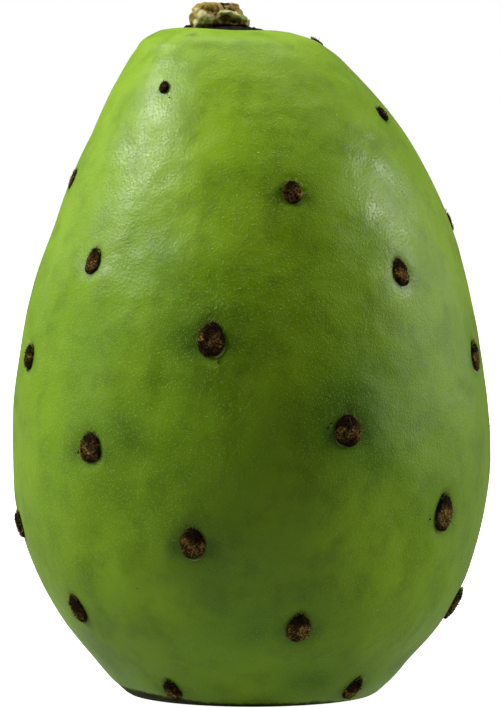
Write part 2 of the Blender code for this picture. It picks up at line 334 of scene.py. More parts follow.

# %% [markdown]
# A fruit doesn't ripen evenly: here and there its green turns yellowish first, and elsewhere it
# stays deep. Those few soft patches are listed by azimuth and height, and each is a bell curve of
# the distance from its middle. Several of them are painted light and shade as well: lighter where
# the softboxes' light and highlights spread wider, darker low by the base and beside some areoles.

# %% Riper and greener patches, with painted light and shade
RIPE_AND_LIGHT_PATCHES = (
    # azimuth in degrees, height mm, spread mm, riper or painted light (+), deeper green or painted
    # shade (-)
    (-26.0, 56.0, 4.0, -0.35),
    (-4.0, 46.5, 4.5, -0.30),
    (-17.0, 46.0, 3.5, -0.55),
    (-42.0, 46.0, 7.0, -0.25),
    (-30.0, 35.0, 4.0, -0.35),
    (25.0, 37.0, 5.5, -0.45),
    (0.0, 11.0, 4.0, -0.25),
    (15.0, 4.5, 3.0, -0.30),
    (25.0, 3.0, 3.0, -0.35),
    (68.0, 4.0, 4.0, -0.50),
    (-62.0, 4.0, 3.5, -0.20),
    (-33.0, 15.0, 6.0, 0.20),
    (-35.0, 5.0, 5.0, 0.25),
    (-23.0, 14.0, 4.0, 0.35),
    (-25.0, 28.0, 4.0, 0.10),
    (-12.0, 69.5, 4.5, 0.45),
    (-20.0, 62.0, 4.0, 0.32),
    (2.0, 76.0, 5.0, 0.20),
    (4.0, 60.0, 5.0, 0.32),
    (4.0, 43.0, 4.0, 0.32),
    (4.0, 28.0, 3.5, 0.20),
    (22.0, 21.0, 4.5, 0.32),
    (20.0, 70.0, 3.5, 0.20),
    (32.0, 63.0, 5.0, 0.20),
    (36.0, 52.0, 4.0, 0.35),
    (37.0, 19.0, 5.0, 0.30),
    (37.0, 8.0, 3.0, 0.25),
    (-6.0, 2.0, 3.0, 0.20),
    (43.0, 48.0, 4.0, 0.10),
    (50.0, 31.0, 5.0, 0.05),
    (140.0, 52.0, 8.0, 0.25),
    (180.0, 22.0, 8.0, 0.20),
    (-140.0, 34.0, 9.0, -0.25),
)


def ripeness_and_painted_light(points):
    """Sum over the soft patches of share x bell curve of the distance in mm."""
    total = np.zeros(points.shape[:-1])
    for azimuth, height, spread, share in RIPE_AND_LIGHT_PATCHES:
        away = np.linalg.norm(points - wall_point(math.radians(azimuth), height), axis=-1)
        total += share * bell(away, spread)
    return total


print(len(RIPE_AND_LIGHT_PATCHES), "soft patches")

# %% [markdown]
# Small unevenness is needed in many places: the skin, the felt, the torn stub. Blender's noise
# lives in its shaders, where numpy can't reach it. A sum of sine waves that run in seeded random
# directions does as well, is smooth everywhere and takes a few lines of array work.

# %% Seeded unevenness
def waves(points, seed, wavelength, count=14):
    """Sum of sines along random directions, near the wavelength in mm, from about -1 to 1."""
    draw = np.random.default_rng(seed)
    direction = unit(draw.normal(size=(count, 3)))
    pace = math.tau / (wavelength * draw.uniform(0.7, 1.5, count))
    start = draw.uniform(0.0, math.tau, count)
    total = np.sin(points @ (direction * pace[:, None]).T + start).sum(axis=-1)
    return total / math.sqrt(count) * 0.9


print("unevenness at the origin", round(float(waves(np.zeros(3), 1, 5.0)), 3))

# %% [markdown]
# Every closed piece here is a stack of rings, with the first and the last ring pinched to a
# point or closed by a fan. The faces of such a stack follow one pattern, so one helper numbers
# them for any number of rings, and for any number of copies of the piece at once. The arrays go
# into the mesh with foreach_set, which takes a hundred thousand faces in a moment.

# %% Rings into a mesh
def ring_faces(rings, columns):
    """Corner numbers of the quads between the rings and of the two fans that close the ends.

    Points are numbered ring by ring, then come the middle of the first ring and of the last one."""
    ring = np.arange(rings - 1)[:, None] * columns
    here = ring + np.arange(columns)
    after = ring + (np.arange(columns) + 1) % columns
    quads = np.stack([here, after, after + columns, here + columns], axis=-1).reshape(-1, 4)
    low, top = np.arange(columns), (rings - 1) * columns
    after_low = (low + 1) % columns
    middle = np.full(columns, rings * columns)
    fan_low = np.stack([after_low, low, middle], axis=-1)
    fan_high = np.stack([low + top, after_low + top, middle + 1], axis=-1)
    return quads, np.concatenate([fan_low, fan_high])


def stacks_to_arrays(stacks, first_middle=None, last_middle=None):
    """Points and faces of stacks shaped (copies, rings, columns, 3), each closed at both ends."""
    copies, rings, columns, _ = stacks.shape
    first = stacks[:, 0].mean(axis=1) if first_middle is None else first_middle
    last = stacks[:, -1].mean(axis=1) if last_middle is None else last_middle
    ends = [first.reshape(copies, 1, 3), last.reshape(copies, 1, 3)]
    points = np.concatenate([stacks.reshape(copies, -1, 3), *ends], axis=1)
    quads, fans = ring_faces(rings, columns)
    offset = (np.arange(copies) * points.shape[1])[:, None, None]
    return points.reshape(-1, 3), (quads + offset).reshape(-1, 4), (fans + offset).reshape(-1, 3)


def closed_values(values):
    """The values of one stack's points, and 0 for the two points that close its ends."""
    return np.concatenate([values.ravel(), [0.0, 0.0]])


def new_object(name, data):
    """An object for that mesh, camera or light, in the scene."""
    made = bpy.data.objects.new(name, data)
    bpy.context.scene.collection.objects.link(made)
    return made


def new_piece(name, arrays, material, attributes=None):
    """Makes the object in metres, shaded smooth, riding on the one body, with its finish."""
    points, quads, triangles = arrays
    mesh = bpy.data.meshes.new(name)
    corners = np.concatenate([quads.ravel(), triangles.ravel()]).astype(np.int32)
    sizes = np.concatenate([np.full(len(quads), 4), np.full(len(triangles), 3)]).astype(np.int32)
    mesh.vertices.add(len(points))
    mesh.vertices.foreach_set("co", (points * MM).astype(np.float32).ravel())
    mesh.loops.add(len(corners))
    mesh.loops.foreach_set("vertex_index", corners)
    mesh.polygons.add(len(sizes))
    starts = np.concatenate([[0], np.cumsum(sizes)[:-1]]).astype(np.int32)
    mesh.polygons.foreach_set("loop_start", starts)
    mesh.update(calc_edges=True)
    mesh.validate()
    mesh.shade_smooth()
    for label, values in (attributes or {}).items():
        layer = mesh.attributes.new(label, "FLOAT", "POINT")
        layer.data.foreach_set("value", np.asarray(values, np.float32).ravel())
    mesh.materials.append(material)
    piece = new_object(name, mesh)
    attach(piece, "root")
    print(name, "has", len(points), "points and", 2 * len(quads) + len(triangles), "triangles")
    return piece


# %% [markdown]
# Finishes are node trees. To keep them readable, a small class holds one tree and has a short
# method for each kind of node that the finishes use. Every pattern reads the object's own
# coordinates in metres, or a value stored on the mesh, so it stays put from every side.

# %% Writing a finish
class Finish:
    """One material, or one shader group, and short ways to add nodes to it."""

    def __init__(self, tree):
        self.tree = tree

    def put(self, socket, value):
        """A value goes on the socket, and an output is linked to it."""
        if isinstance(value, bpy.types.NodeSocket):
            self.tree.links.new(value, socket)
        elif isinstance(value, tuple) and len(value) == 3 and socket.type == "RGBA":
            socket.default_value = (*value, 1.0)
        else:
            socket.default_value = value

    def node(self, kind, inputs=None, **settings):
        """A new node of that kind, with its settings and what goes on its inputs."""
        made = self.tree.nodes.new(kind)
        for key, value in settings.items():
            setattr(made, key, value)
        for key, value in (inputs or {}).items():
            self.put(made.inputs[key], value)
        return made

    def surface(self, **parts):
        """Puts each part on the Principled shader's socket of that name."""
        shader = self.tree.nodes["Principled BSDF"]
        for key, value in parts.items():
            self.put(shader.inputs[key.replace("_", " ").title().replace("Ior", "IOR")], value)

    def place(self, stretch=None):
        """The object's own coordinates, stretched along the axes if asked."""
        coords = self.node("ShaderNodeTexCoord").outputs["Object"]
        if stretch is None:
            return coords
        inputs = {"Vector": coords, "Scale": stretch}
        return self.node("ShaderNodeMapping", inputs).outputs["Vector"]

    def stored(self, label):
        """A value kept on the mesh."""
        return self.node("ShaderNodeAttribute", attribute_name=label).outputs["Fac"]

    def noise(self, size_mm, detail=2.0, rough=0.5, place=None, warp=0.0):
        """Cloudy noise whose largest lumps are about size_mm apart."""
        inputs = {"Vector": place or self.place(), "Scale": 1.0 / (size_mm * MM)}
        inputs.update({"Detail": detail, "Roughness": rough, "Distortion": warp})
        return self.node("ShaderNodeTexNoise", inputs).outputs["Fac"]

    def cells(self, size_mm):
        """Scattered points about size_mm apart: the distance to the nearest, and its colour."""
        inputs = {"Vector": self.place(), "Scale": 1.0 / (size_mm * MM)}
        return self.node("ShaderNodeTexVoronoi", inputs).outputs

    def channel(self, colour, label):
        """One channel of a colour: Red, Green or Blue."""
        return self.node("ShaderNodeSeparateColor", {"Color": colour}).outputs[label]

    def axis(self, vector, label):
        """One coordinate of a vector: X, Y or Z."""
        return self.node("ShaderNodeSeparateXYZ", {"Vector": vector}).outputs[label]

    def fit(self, value, low, high, to_low=0.0, to_high=1.0):
        """Stretches low..high to to_low..to_high, smoothly and held at the ends."""
        inputs = {"From Min": low, "From Max": high, "To Min": to_low, "To Max": to_high}
        inputs["Value"] = value
        made = self.node("ShaderNodeMapRange", inputs, interpolation_type="SMOOTHSTEP")
        return made.outputs["Result"]

    def sum(self, kind, *values, held=False):
        """One Math node: ADD, MULTIPLY, POWER, MULTIPLY_ADD and so on, held to 0..1 if asked."""
        inputs = dict(enumerate(values))
        return self.node("ShaderNodeMath", inputs, operation=kind, use_clamp=held).outputs["Value"]

    def blend(self, share, first, second):
        """Colour mix of first and second by the share of the second."""
        made = self.node("ShaderNodeMix", {"Factor": share}, data_type="RGBA")
        colours = [socket for socket in made.inputs if socket.type == "RGBA"]
        self.put(colours[0], first)
        self.put(colours[1], second)
        return next(socket for socket in made.outputs if socket.type == "RGBA")

    def ramp(self, value, stops):
        """Colours at positions from 0 to 1."""
        made = self.node("ShaderNodeValToRGB", {"Fac": value})
        line = made.color_ramp
        while len(line.elements) < len(stops):
            line.elements.new(0.5)
        for element, (where, colour) in zip(line.elements, stops):
            element.position = where
            element.color = (*colour, 1.0)
        return made.outputs["Color"]

    def bump(self, height, depth_mm, under=None):
        """Relief of depth_mm for a height from 0 to 1, on top of another bump if there is one."""
        inputs = {"Height": height, "Distance": depth_mm * MM, "Strength": 1.0}
        if under is not None:
            inputs["Normal"] = under
        return self.node("ShaderNodeBump", inputs).outputs["Normal"]


def new_material(name, **plain):
    """A material and its Finish, with plain values on the shader's own sockets."""
    material = bpy.data.materials.new(name)
    material.use_nodes = True
    finish = Finish(material.node_tree)
    finish.surface(**plain)
    return material, finish


print("finishes ready")

# %% [markdown]
# Two effects come back again and again in the finishes: slow cloudy patches, and small round
# specks of uneven size. Each is a shader group, built once and placed wherever it is needed,
# with its own sizes there.

# %% Shared groups: patches and specks
def new_group(name, inputs):
    """An empty shader group with those number inputs, and one output for its mask."""
    group = bpy.data.node_groups.new(name, "ShaderNodeTree")
    for label in inputs:
        group.interface.new_socket(label, in_out="INPUT", socket_type="NodeSocketFloat")
    group.interface.new_socket("Mask", in_out="OUTPUT", socket_type="NodeSocketFloat")
    finish = Finish(group)
    given = finish.node("NodeGroupInput").outputs
    return group, finish, given, finish.node("NodeGroupOutput").inputs["Mask"]


def make_patches():
    """Mask from 0 to 1: noise of the given scale, with its middle stretched by the contrast."""
    group, finish, given, mask = new_group("cloudy_patches", ("Scale", "Contrast"))
    inputs = {"Vector": finish.place(), "Scale": given["Scale"], "Detail": 3.0}
    noise = finish.node("ShaderNodeTexNoise", inputs).outputs["Fac"]
    centred = finish.sum("SUBTRACT", noise, 0.5)
    finish.put(mask, finish.sum("MULTIPLY_ADD", centred, given["Contrast"], 0.5, held=True))
    return group


def make_specks():
    """Mask from 0 to 1: soft-edged discs in scattered cells, of a radius given in cell widths.

    A cell's own random number shrinks its disc, and drops it when under the sparseness."""
    group, finish, given, mask = new_group("small_specks", ("Scale", "Radius", "Sparseness"))
    inputs = {"Vector": finish.place(), "Scale": given["Scale"]}
    cells = finish.node("ShaderNodeTexVoronoi", inputs).outputs
    drawn = finish.channel(cells["Color"], "Red")
    kept = finish.sum("GREATER_THAN", drawn, given["Sparseness"])
    shrunk = finish.fit(finish.channel(cells["Color"], "Green"), 0.0, 1.0, 0.45, 1.0)
    radius = finish.sum("MULTIPLY", given["Radius"], shrunk)
    inner = finish.sum("MULTIPLY", radius, 0.4)
    disc = finish.fit(cells["Distance"], inner, radius, 1.0, 0.0)
    finish.put(mask, finish.sum("MULTIPLY", disc, kept))
    return group


PATCHES, SPECKS = make_patches(), make_specks()


def shared_mask(finish, group, size_mm, **inputs):
    """A shared group's mask in this finish, for a size in mm and the group's other inputs."""
    made = finish.node("ShaderNodeGroup", node_tree=group)
    for label, value in {"Scale": 1.0 / (size_mm * MM), **inputs}.items():
        finish.put(made.inputs[label], value)
    return made.outputs["Mask"]


def patches(finish, size_mm, contrast=2.0):
    """Slow cloudy patches about size_mm across."""
    return shared_mask(finish, PATCHES, size_mm, Contrast=contrast)


def specks(finish, apart_mm, radius, sparseness=0.0):
    """Small round specks about apart_mm apart."""
    return shared_mask(finish, SPECKS, apart_mm, Radius=radius, Sparseness=sparseness)


print("groups:", PATCHES.name, SPECKS.name)

# %% [markdown]
# The rind is a thin waxy skin over green flesh. Its green shifts slowly from yellowish to deep,
# following the soft patches and two sizes of cloud; several of the patches are painted light and
# shade. A painted shade darkens it in a ring round each areole, for the crease, the dimple and the
# cushion's shadow, and it is covered with fine pale dots, the breathing pores under the wax. Here
# and there are dark flecks and pale scuffs, and a small brown bruise lies by the stub. Each of
# these is a layer: a mask and a colour, laid over the ones before. The wax gives a broad soft gloss
# and a thin bloom, broken up by a slow unevenness. That, a fine pebbled grain and the dots also go
# into the bump. Along the rim that the fruit rests on lies a painted contact shadow, a dark brown
# band that reaches higher on the left, with no gloss.

# %% Finish of the rind
GREENS = (
    # tone, and the colour there, from bruised through deep, leaf and yellowish to ripe
    (0.00, (0.125, 0.290, 0.002)),
    (0.25, (0.215, 0.440, 0.003)),
    (0.50, (0.285, 0.530, 0.004)),
    (0.75, (0.350, 0.625, 0.008)),
    (1.00, (0.425, 0.730, 0.016)),
)
PORE_GREEN = (0.540, 0.720, 0.080)
# Deep green: the colour of the random mottle, and of the painted shade round the areoles.
DEEP_AND_SHADE_GREEN = (0.062, 0.160, 0.001)
FLECK_BROWN = (0.045, 0.040, 0.012)
SCUFF_PALE = (0.420, 0.460, 0.260)
# Colours of the painted contact shadow along the bottom of the rim.
CONTACT_SHADOW_BROWN, CONTACT_SHADOW_TAN = (0.004, 0.004, 0.002), (0.075, 0.048, 0.020)
BRUISE_BROWN, BRUISE_AT = (0.170, 0.120, 0.030), (-0.0073, -0.0087, 0.1652)
BLOOM = {"sheen_weight": 0.16, "sheen_roughness": 0.5, "sheen_tint": (0.80, 1.00, 0.25)}
CLOUDS = (
    # size mm, contrast, share of the tone
    (24.0, 1.8, 0.26),
    (7.0, 2.2, 0.26),
)
PORES_APART, PORE_RADIUS = 0.21, 0.44
SPARSE_SPECKS = (
    # apart mm, radius in cell widths, share left out, strength, colour
    (1.1, 0.11, 0.45, 0.5, PORE_GREEN),
    (2.6, 0.055, 0.55, 0.7, FLECK_BROWN),
)
# Heights that the painted contact shadow reaches on the left, in the middle and on the right.
RIM_LEFT, RIM_MIDDLE, RIM_RIGHT = 1.35 * MM, 0.60 * MM, 0.15 * MM
SLOW_BUMP, GRAIN_BUMP, PORE_BUMP = 0.42, 0.022, 0.032


def rind_green(finish, z):
    """Yellower towards the top and where the stored patches of ripeness and painted light say,
    shifted by two sizes of cloud.
    """
    tone = finish.sum("ADD", finish.fit(z, 0.012, 0.080, 0.13, 0.35), finish.stored("ripe_and_painted_light"))
    for size, contrast, share in CLOUDS:
        tone = finish.sum("MULTIPLY_ADD", patches(finish, size, contrast), share, tone)
    return finish.ramp(tone, GREENS)


def rind_bruise(finish):
    """Ragged spot round one place, half as tall as it is wide."""
    inputs = {0: finish.place((1.0, 1.0, 2.0)), 1: BRUISE_AT}
    away = finish.node("ShaderNodeVectorMath", inputs, operation="DISTANCE").outputs["Value"]
    near = finish.sum("MULTIPLY_ADD", finish.noise(0.7, 3.0, 0.6), 0.0016, away)
    return finish.fit(near, 0.0009, 0.0020, 0.75, 0.0)


def painted_contact_shadow(finish, x, z):
    """Painted contact shadow: 1 up to a ragged level that falls from the left to the right."""
    left = finish.fit(x, -0.0145, -0.003, RIM_LEFT, RIM_MIDDLE)
    right = finish.fit(x, 0.008, 0.0135, 0.0, RIM_MIDDLE - RIM_RIGHT)
    over = finish.sum("SUBTRACT", z, finish.sum("SUBTRACT", left, right))
    ragged = finish.sum("MULTIPLY_ADD", finish.noise(1.1, 4.0, 0.7), 0.0008, over)
    return finish.fit(ragged, 0.0001, 0.0006, 1.0, 0.0)


def make_rind_finish():
    """The green under its layers, the gloss in patches, and three sizes of relief."""
    material, finish = new_material("waxy_rind", specular_ior_level=0.36, **BLOOM)
    x, z = (finish.axis(finish.place(), label) for label in "XZ")
    mottle = finish.fit(finish.noise(4.2, 3.0, 0.6), 0.44, 0.70, 0.0, 0.30)
    # The stored ring is painted shade round the areoles: crease, cushion shadow and dimple wall.
    ring = finish.sum("MULTIPLY", finish.stored("ring"), 0.80)
    pores = specks(finish, PORES_APART, PORE_RADIUS)
    pore_strength = finish.fit(patches(finish, 5.0), 0.0, 1.0, 0.45, 0.75)
    pale = finish.sum("MULTIPLY", pores, pore_strength)
    layers = [(mottle, DEEP_AND_SHADE_GREEN), (ring, DEEP_AND_SHADE_GREEN), (pale, PORE_GREEN)]
    for apart, radius, left_out, strength, tint in SPARSE_SPECKS:
        mask = specks(finish, apart, radius, left_out)
        layers.append((finish.sum("MULTIPLY", mask, strength), tint))
    scuffs = finish.noise(2.2, 3.0, 0.6, finish.place((1.0, 1.0, 3.0)), 0.6)
    scuff_mask = finish.sum("MULTIPLY", finish.fit(scuffs, 0.70, 0.80), 0.4)
    # Painted contact shadow along the bottom of the rim, dark brown with tan flecks and no gloss.
    rim = painted_contact_shadow(finish, x, z)
    contact_shadow_tint = finish.blend(finish.fit(finish.noise(0.7, 4.0, 0.7), 0.50, 0.72), CONTACT_SHADOW_BROWN, CONTACT_SHADOW_TAN)
    layers += [(scuff_mask, SCUFF_PALE), (rind_bruise(finish), BRUISE_BROWN), (rim, contact_shadow_tint)]
    colour = rind_green(finish, z)
    for mask, tint in layers:
        colour = finish.blend(mask, colour, tint)
    gloss = finish.fit(patches(finish, 3.5, 1.8), 0.0, 1.0, 0.32, 0.46)
    rough = finish.sum("MAXIMUM", gloss, finish.fit(rim, 0.0, 0.5))
    slow = finish.bump(finish.noise(6.5), SLOW_BUMP)
    grain = finish.bump(finish.cells(0.38)["Distance"], GRAIN_BUMP, slow)
    finish.surface(base_color=colour, roughness=rough, normal=finish.bump(pores, PORE_BUMP, grain))
    return material


rind_finish = make_rind_finish()
print("rind finish has", len(rind_finish.node_tree.nodes), "nodes")

# %% [markdown]
# The skin is one closed surface. Its profile starts in the middle of the dished flower scar,
# runs out to the ring that the fruit rests on, rounds up into the wall, climbs to the shoulder
# and crosses the flat stem scar into the small socket that holds the stub. Points are spread
# evenly along that line, and each is then turned round the axis, moved with the level's centre
# and lifted by the relief.

# %% The line that the skin follows
DISH_DEPTH, DISH_EDGE_DEPTH, DISH_FLOOR_RADIUS = 5.0, 4.7, 8.0
REST_RING_INNER, REST_RING_OUTER = 13.2, 15.0
RIM_HEIGHT = 1.2
SHOULDER_HEIGHT = 0.992 * BODY_HEIGHT
SCAR_RADIUS, SOCKET_RADIUS, SOCKET_DEPTH = 5.2, 2.6, 1.2
SCAR_TOP = BODY_HEIGHT + SCAR_RISE


def hermite(start, end, start_slope, end_slope, steps):
    """Points of a cubic from start to end that leaves and arrives along the given directions."""
    t = np.linspace(0.0, 1.0, steps)[:, None]
    span = np.linalg.norm(np.subtract(end, start))
    leave = span * np.array(start_slope) / np.linalg.norm(start_slope)
    arrive = span * np.array(end_slope) / np.linalg.norm(end_slope)
    curve = (1 + 2 * t) * (1 - t) ** 2 * start + t * (1 - t) ** 2 * leave
    return curve + t * t * (3 - 2 * t) * np.array(end) + t * t * (t - 1) * arrive


def dish_floor(radius):
    """Height in mm of the dish's crowned floor, a parabola that is lower at the floor's edge."""
    return DISH_DEPTH - (DISH_DEPTH - DISH_EDGE_DEPTH) * (radius / DISH_FLOOR_RADIUS) ** 2


def skin_line():
    """(radius, height) in mm, thickly spaced, from the dish's middle to the socket's middle."""
    floor_radius = np.linspace(0.02, DISH_FLOOR_RADIUS, 40)[:-1]
    dish_middle = np.stack([floor_radius, dish_floor(floor_radius)], axis=-1)
    share = np.linspace(0.0, 1.0, 80)
    dish_radius = DISH_FLOOR_RADIUS + share * (REST_RING_INNER - DISH_FLOOR_RADIUS)
    dish = np.stack([dish_radius, DISH_EDGE_DEPTH * (1 - share) ** 2 * (1 + 2 * share)], axis=-1)
    step = 0.1
    rim_top = (wall_radius(RIM_HEIGHT), RIM_HEIGHT)
    rim_slope = (wall_radius(RIM_HEIGHT + step) - wall_radius(RIM_HEIGHT - step), 2 * step)
    rim = hermite((REST_RING_OUTER, 0.0), rim_top, (1.0, 0.0), rim_slope, 40)
    heights = np.linspace(RIM_HEIGHT, SHOULDER_HEIGHT, 900)
    wall = np.stack([wall_radius(heights), heights], axis=-1)
    edge_slope = wall[-1] - wall[-2]
    shoulder = hermite(tuple(wall[-1]), (SCAR_RADIUS, SCAR_TOP), edge_slope, (-1.0, 0.0), 60)
    floor = BODY_HEIGHT - SOCKET_DEPTH
    scar = np.array(((SOCKET_RADIUS + 0.1, SCAR_TOP), (SOCKET_RADIUS - 0.1, floor), (0.02, floor)))
    return np.concatenate([dish_middle, dish, rim, wall[1:], shoulder[1:], scar])


def evenly(line, count):
    """The line again, with count points an even way apart along it."""
    gone = np.concatenate([[0.0], np.cumsum(np.linalg.norm(np.diff(line, axis=0), axis=1))])
    where = np.linspace(0.0, gone[-1], count)
    return np.stack([np.interp(where, gone, values) for values in line.T], axis=-1)


SKIN_RINGS, SKIN_COLUMNS = 215, 452
skin_rows = evenly(skin_line(), SKIN_RINGS)
print("skin rings", np.hypot(*(skin_rows[1] - skin_rows[0])).round(2), "mm apart")

# %% The skin itself
SKIN_WAVES = (
    # seed, wavelength mm, size mm
    (1, 17.0, 0.07),
    (2, 8.0, 0.05),
    (3, 4.5, 0.02),
)
RELIEF_FADE_LOW, RELIEF_FADE_HIGH = 2.0, 3.0


def skin_stack():
    """Rings of the skin, and for each point the painted ring shade, and the ripeness and painted
    light.

    Wall rings: the wall's point, lifted by the relief and by slow waves. Rings of the dish and of
    the stem scar: plain circles round their own level's centre."""
    azimuth, radius, height = all_round(SKIN_COLUMNS), skin_rows[:, :1], skin_rows[:, 1:]
    is_dish = (radius <= REST_RING_OUTER) & (height <= DISH_DEPTH)
    is_scar = (height > 0.5 * BODY_HEIGHT) & (radius < wall_radius(BODY_HEIGHT))
    is_wall = ~(is_dish | is_scar)
    bare = wall_point(azimuth, height)
    rise = areole_relief(bare)
    for seed, wavelength, size in SKIN_WAVES:
        rise = rise + size * waves(bare, seed, wavelength)
    below_top = BODY_HEIGHT - height
    edge = np.minimum(height / RELIEF_FADE_LOW, below_top / RELIEF_FADE_HIGH).clip(0.0, 1.0)
    grown = (radius - wall_radius(height)) * (height < RIM_HEIGHT)
    walls = wall_point(azimuth, height, rise * edge + grown)
    shift = np.where(is_dish, wall_shift(0.0), wall_shift(BODY_HEIGHT))
    plain = turned(radius, azimuth, height, shift)
    points = raised(np.where(is_wall[..., None], walls, plain))
    return points, np.where(is_wall, areole_painted_shade(bare), 0.0), ripeness_and_painted_light(bare)


skin_points, skin_ring_shade, skin_ripe_and_light = skin_stack()
skin_values = {"ring": closed_values(skin_ring_shade), "ripe_and_painted_light": closed_values(skin_ripe_and_light)}
rind = new_piece("rind", stacks_to_arrays(skin_points[None]), rind_finish, skin_values)
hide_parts("fruit_body")

# %% [markdown]
# A cushion is a dense felt of short woolly hairs, standing on the skin like a small button. It
# could be a smooth dome with a hairy picture on it, but there is no picture here, and its edge
# would stay clean. So the body is an egg-shaped dome with a lumpy surface, and real tapered hairs
# stand on it afterwards.

# %% Finish of the felt
FELT_BLACK = (0.009, 0.006, 0.002)
FELT_BROWN = (0.051, 0.026, 0.005)
FELT_TAN = (0.210, 0.109, 0.023)
FELT_GOLD = (0.530, 0.360, 0.108)
FELT_RAMP = ((0.0, FELT_BLACK), (0.28, FELT_BROWN), (0.62, FELT_TAN), (1.0, FELT_GOLD))
GRAIN_SIZE, GRAIN_DEPTH = 0.17, 0.10


def make_felt_finish():
    """Grains of felt, mostly dark, with tan and golden ones where the stored warmth is high."""
    material, finish = new_material("areole_felt", roughness=0.9, specular_ior_level=0.1)
    grains, warmth = finish.cells(GRAIN_SIZE), finish.stored("warmth")
    luck = finish.sum("POWER", finish.channel(grains["Color"], "Red"), 2.2)
    reach = finish.sum("MULTIPLY_ADD", warmth, 0.70, 0.25)
    tone = finish.sum("MULTIPLY_ADD", luck, reach, finish.sum("MULTIPLY_ADD", warmth, 0.16, 0.06))
    relief = finish.bump(grains["Distance"], GRAIN_DEPTH)
    finish.surface(base_color=finish.ramp(tone, FELT_RAMP), normal=relief)
    return material


felt_finish = make_felt_finish()
print("felt finish ready")

# %% The cushions
PROUD_TOP, PROUD_STEP, CUSHION_SUNK, CUSHION_FLOOR = 0.35, 0.010, 0.8, 0.15
CUSHION_RINGS, CUSHION_COLUMNS, CUSHION_SKIRT, CUSHION_LEAN = 16, 40, 0.25, 0.12
CUSHION_WAVES = ((21, 0.80, 0.06), (22, 0.35, 0.04))  # seed, wavelength mm, size mm
WARM_BELOW, WARM_HALF_WIDTH = 0.22, 0.55
# By areole: the share of its height that a worn one has left, and how much paler a bleached one is.
WORN = {-1: 0.25, 3: 0.45}
BLEACHED = {
    5: 1.8, 10: 1.3, 13: 1.2, 15: 1.8, 18: 1.3, 20: 1.5, 21: 1.2,
    23: 2.1, 26: 1.9, 28: 1.8, 31: 2.0, 34: 1.4, 36: 1.6,
}
areole_lift = areole_relief(areole_seat)
areole_proud = (PROUD_TOP + PROUD_STEP * np.maximum(areole_number, 0.0)) * by_areole(WORN)
areole_pale = by_areole(BLEACHED)


def cushion_warmth(along, egg, points):
    """1 where the felt is tan: patches of a band below the middle, away from the ends and rim."""
    band = np.exp(-(np.abs((along + WARM_BELOW) / WARM_HALF_WIDTH) ** 3))
    patchy = np.clip(0.72 + 0.75 * waves(points, 24, 1.5), 0.08, 1.1)
    return band * patchy * np.clip((1.12 - egg) * 4.0, 0.0, 1.0)


def cushion_stack():
    """Domes shaped (areoles, rings, columns, 3): an egg outline, shrunk ring by ring to the crown.

    The height over the skin is a flattened quarter circle of the shrink, roughened by waves, and
    the first rings run down into the rind."""
    level = np.linspace(-CUSHION_SKIRT, 1.0, CUSHION_RINGS)[None, :, None]
    turn = all_round(CUSHION_COLUMNS)[None]
    shrink = np.where(level < 0, 1.0, np.cos(np.clip(level, 0, 0.97) * math.pi / 2) ** 0.75)
    along = shrink * np.sin(turn)
    across = shrink * np.cos(turn) * (1.0 - CUSHION_TAPER * along)
    lean = 1.0 + CUSHION_LEAN * along
    dome = areole_proud[:, None, None] * lean * np.sin(np.clip(level, 0, 1) * math.pi / 2) ** 0.7
    sunk = CUSHION_SUNK * level / CUSHION_SKIRT
    up_out = np.where(level < 0, sunk, dome) + areole_lift[:, None, None]
    seat, (side, up, out) = areole_seat[:, None, None], areole_frame[:, :, None, None]
    flat = (half_width[:, None, None] * across)[..., None] * side
    flat = flat + (half_length[:, None, None] * along)[..., None] * up
    flat = flat * (1.03 + 0.05 * waves(seat + flat, 23, 1.3)[..., None])
    ragged = sum(size * waves(seat + flat, seed, apart) for seed, apart, size in CUSHION_WAVES)
    outward = (up_out + np.where(level < 0, 0.0, ragged))[..., None] * out
    points = raised(seat + flat + outward)
    points[..., 2] = np.maximum(points[..., 2], CUSHION_FLOOR)
    return points, areole_pale[:, None, None] * cushion_warmth(along, shrink, points)


cushion_points, cushion_warm = cushion_stack()
ends = cushion_warm[:, [0, -1]].mean(axis=2)
warmth = {"warmth": np.concatenate([cushion_warm.reshape(len(cushion_warm), -1), ends], axis=1)}
new_piece("areole_cushions", stacks_to_arrays(cushion_points), felt_finish, warmth)

# %% [markdown]
# The hairs of the felt and the loose bristles are thin tapered spikes. Blender's own hair isn't
# kept when the model leaves Blender, so each one is a tiny closed mesh: two rings of three points
# and a tip. All of them are worked out together as arrays, thousands at once.

# %% Spikes from roots and directions
SPIKE_POINTS = 8


def spike_arrays(root, along, length, thick, bend):
    """Stacks of two triangles and a tip for each spike, with no point below the cushions' floor.

    The middle ring lies just past half way, moved by the bend vector, and the tip at the full
    length moved by about twice the bend. Thick is the diameter at the root in mm."""
    along = unit(along)
    helper = np.where(np.abs(along[:, 2:]) < 0.9, (0.0, 0.0, 1.0), (1.0, 0.0, 0.0))
    first = unit(np.cross(along, helper))
    second = np.cross(along, first)
    turn = all_round(3)[..., None]
    circle = first[:, None] * np.cos(turn) + second[:, None] * np.sin(turn)
    half_thick = 0.5 * np.asarray(thick)[:, None, None]
    low = root[:, None] + circle * half_thick
    middle = (root + 0.55 * length[:, None] * along + bend)[:, None] + circle * half_thick * 0.75
    tip = root + length[:, None] * along + 2.2 * bend
    points, quads, fans = stacks_to_arrays(np.stack([low, middle], axis=1), root, tip)
    points[:, 2] = np.maximum(points[:, 2], CUSHION_FLOOR)
    return points, quads, fans


def make_hair_finish():
    """Each spike keeps one tone along its length, from black through brown to gold."""
    material, finish = new_material("bristle", roughness=0.7, specular_ior_level=0.2)
    finish.surface(base_color=finish.ramp(finish.stored("tone"), FELT_RAMP))
    return material


hair_finish = make_hair_finish()
print("spikes ready")


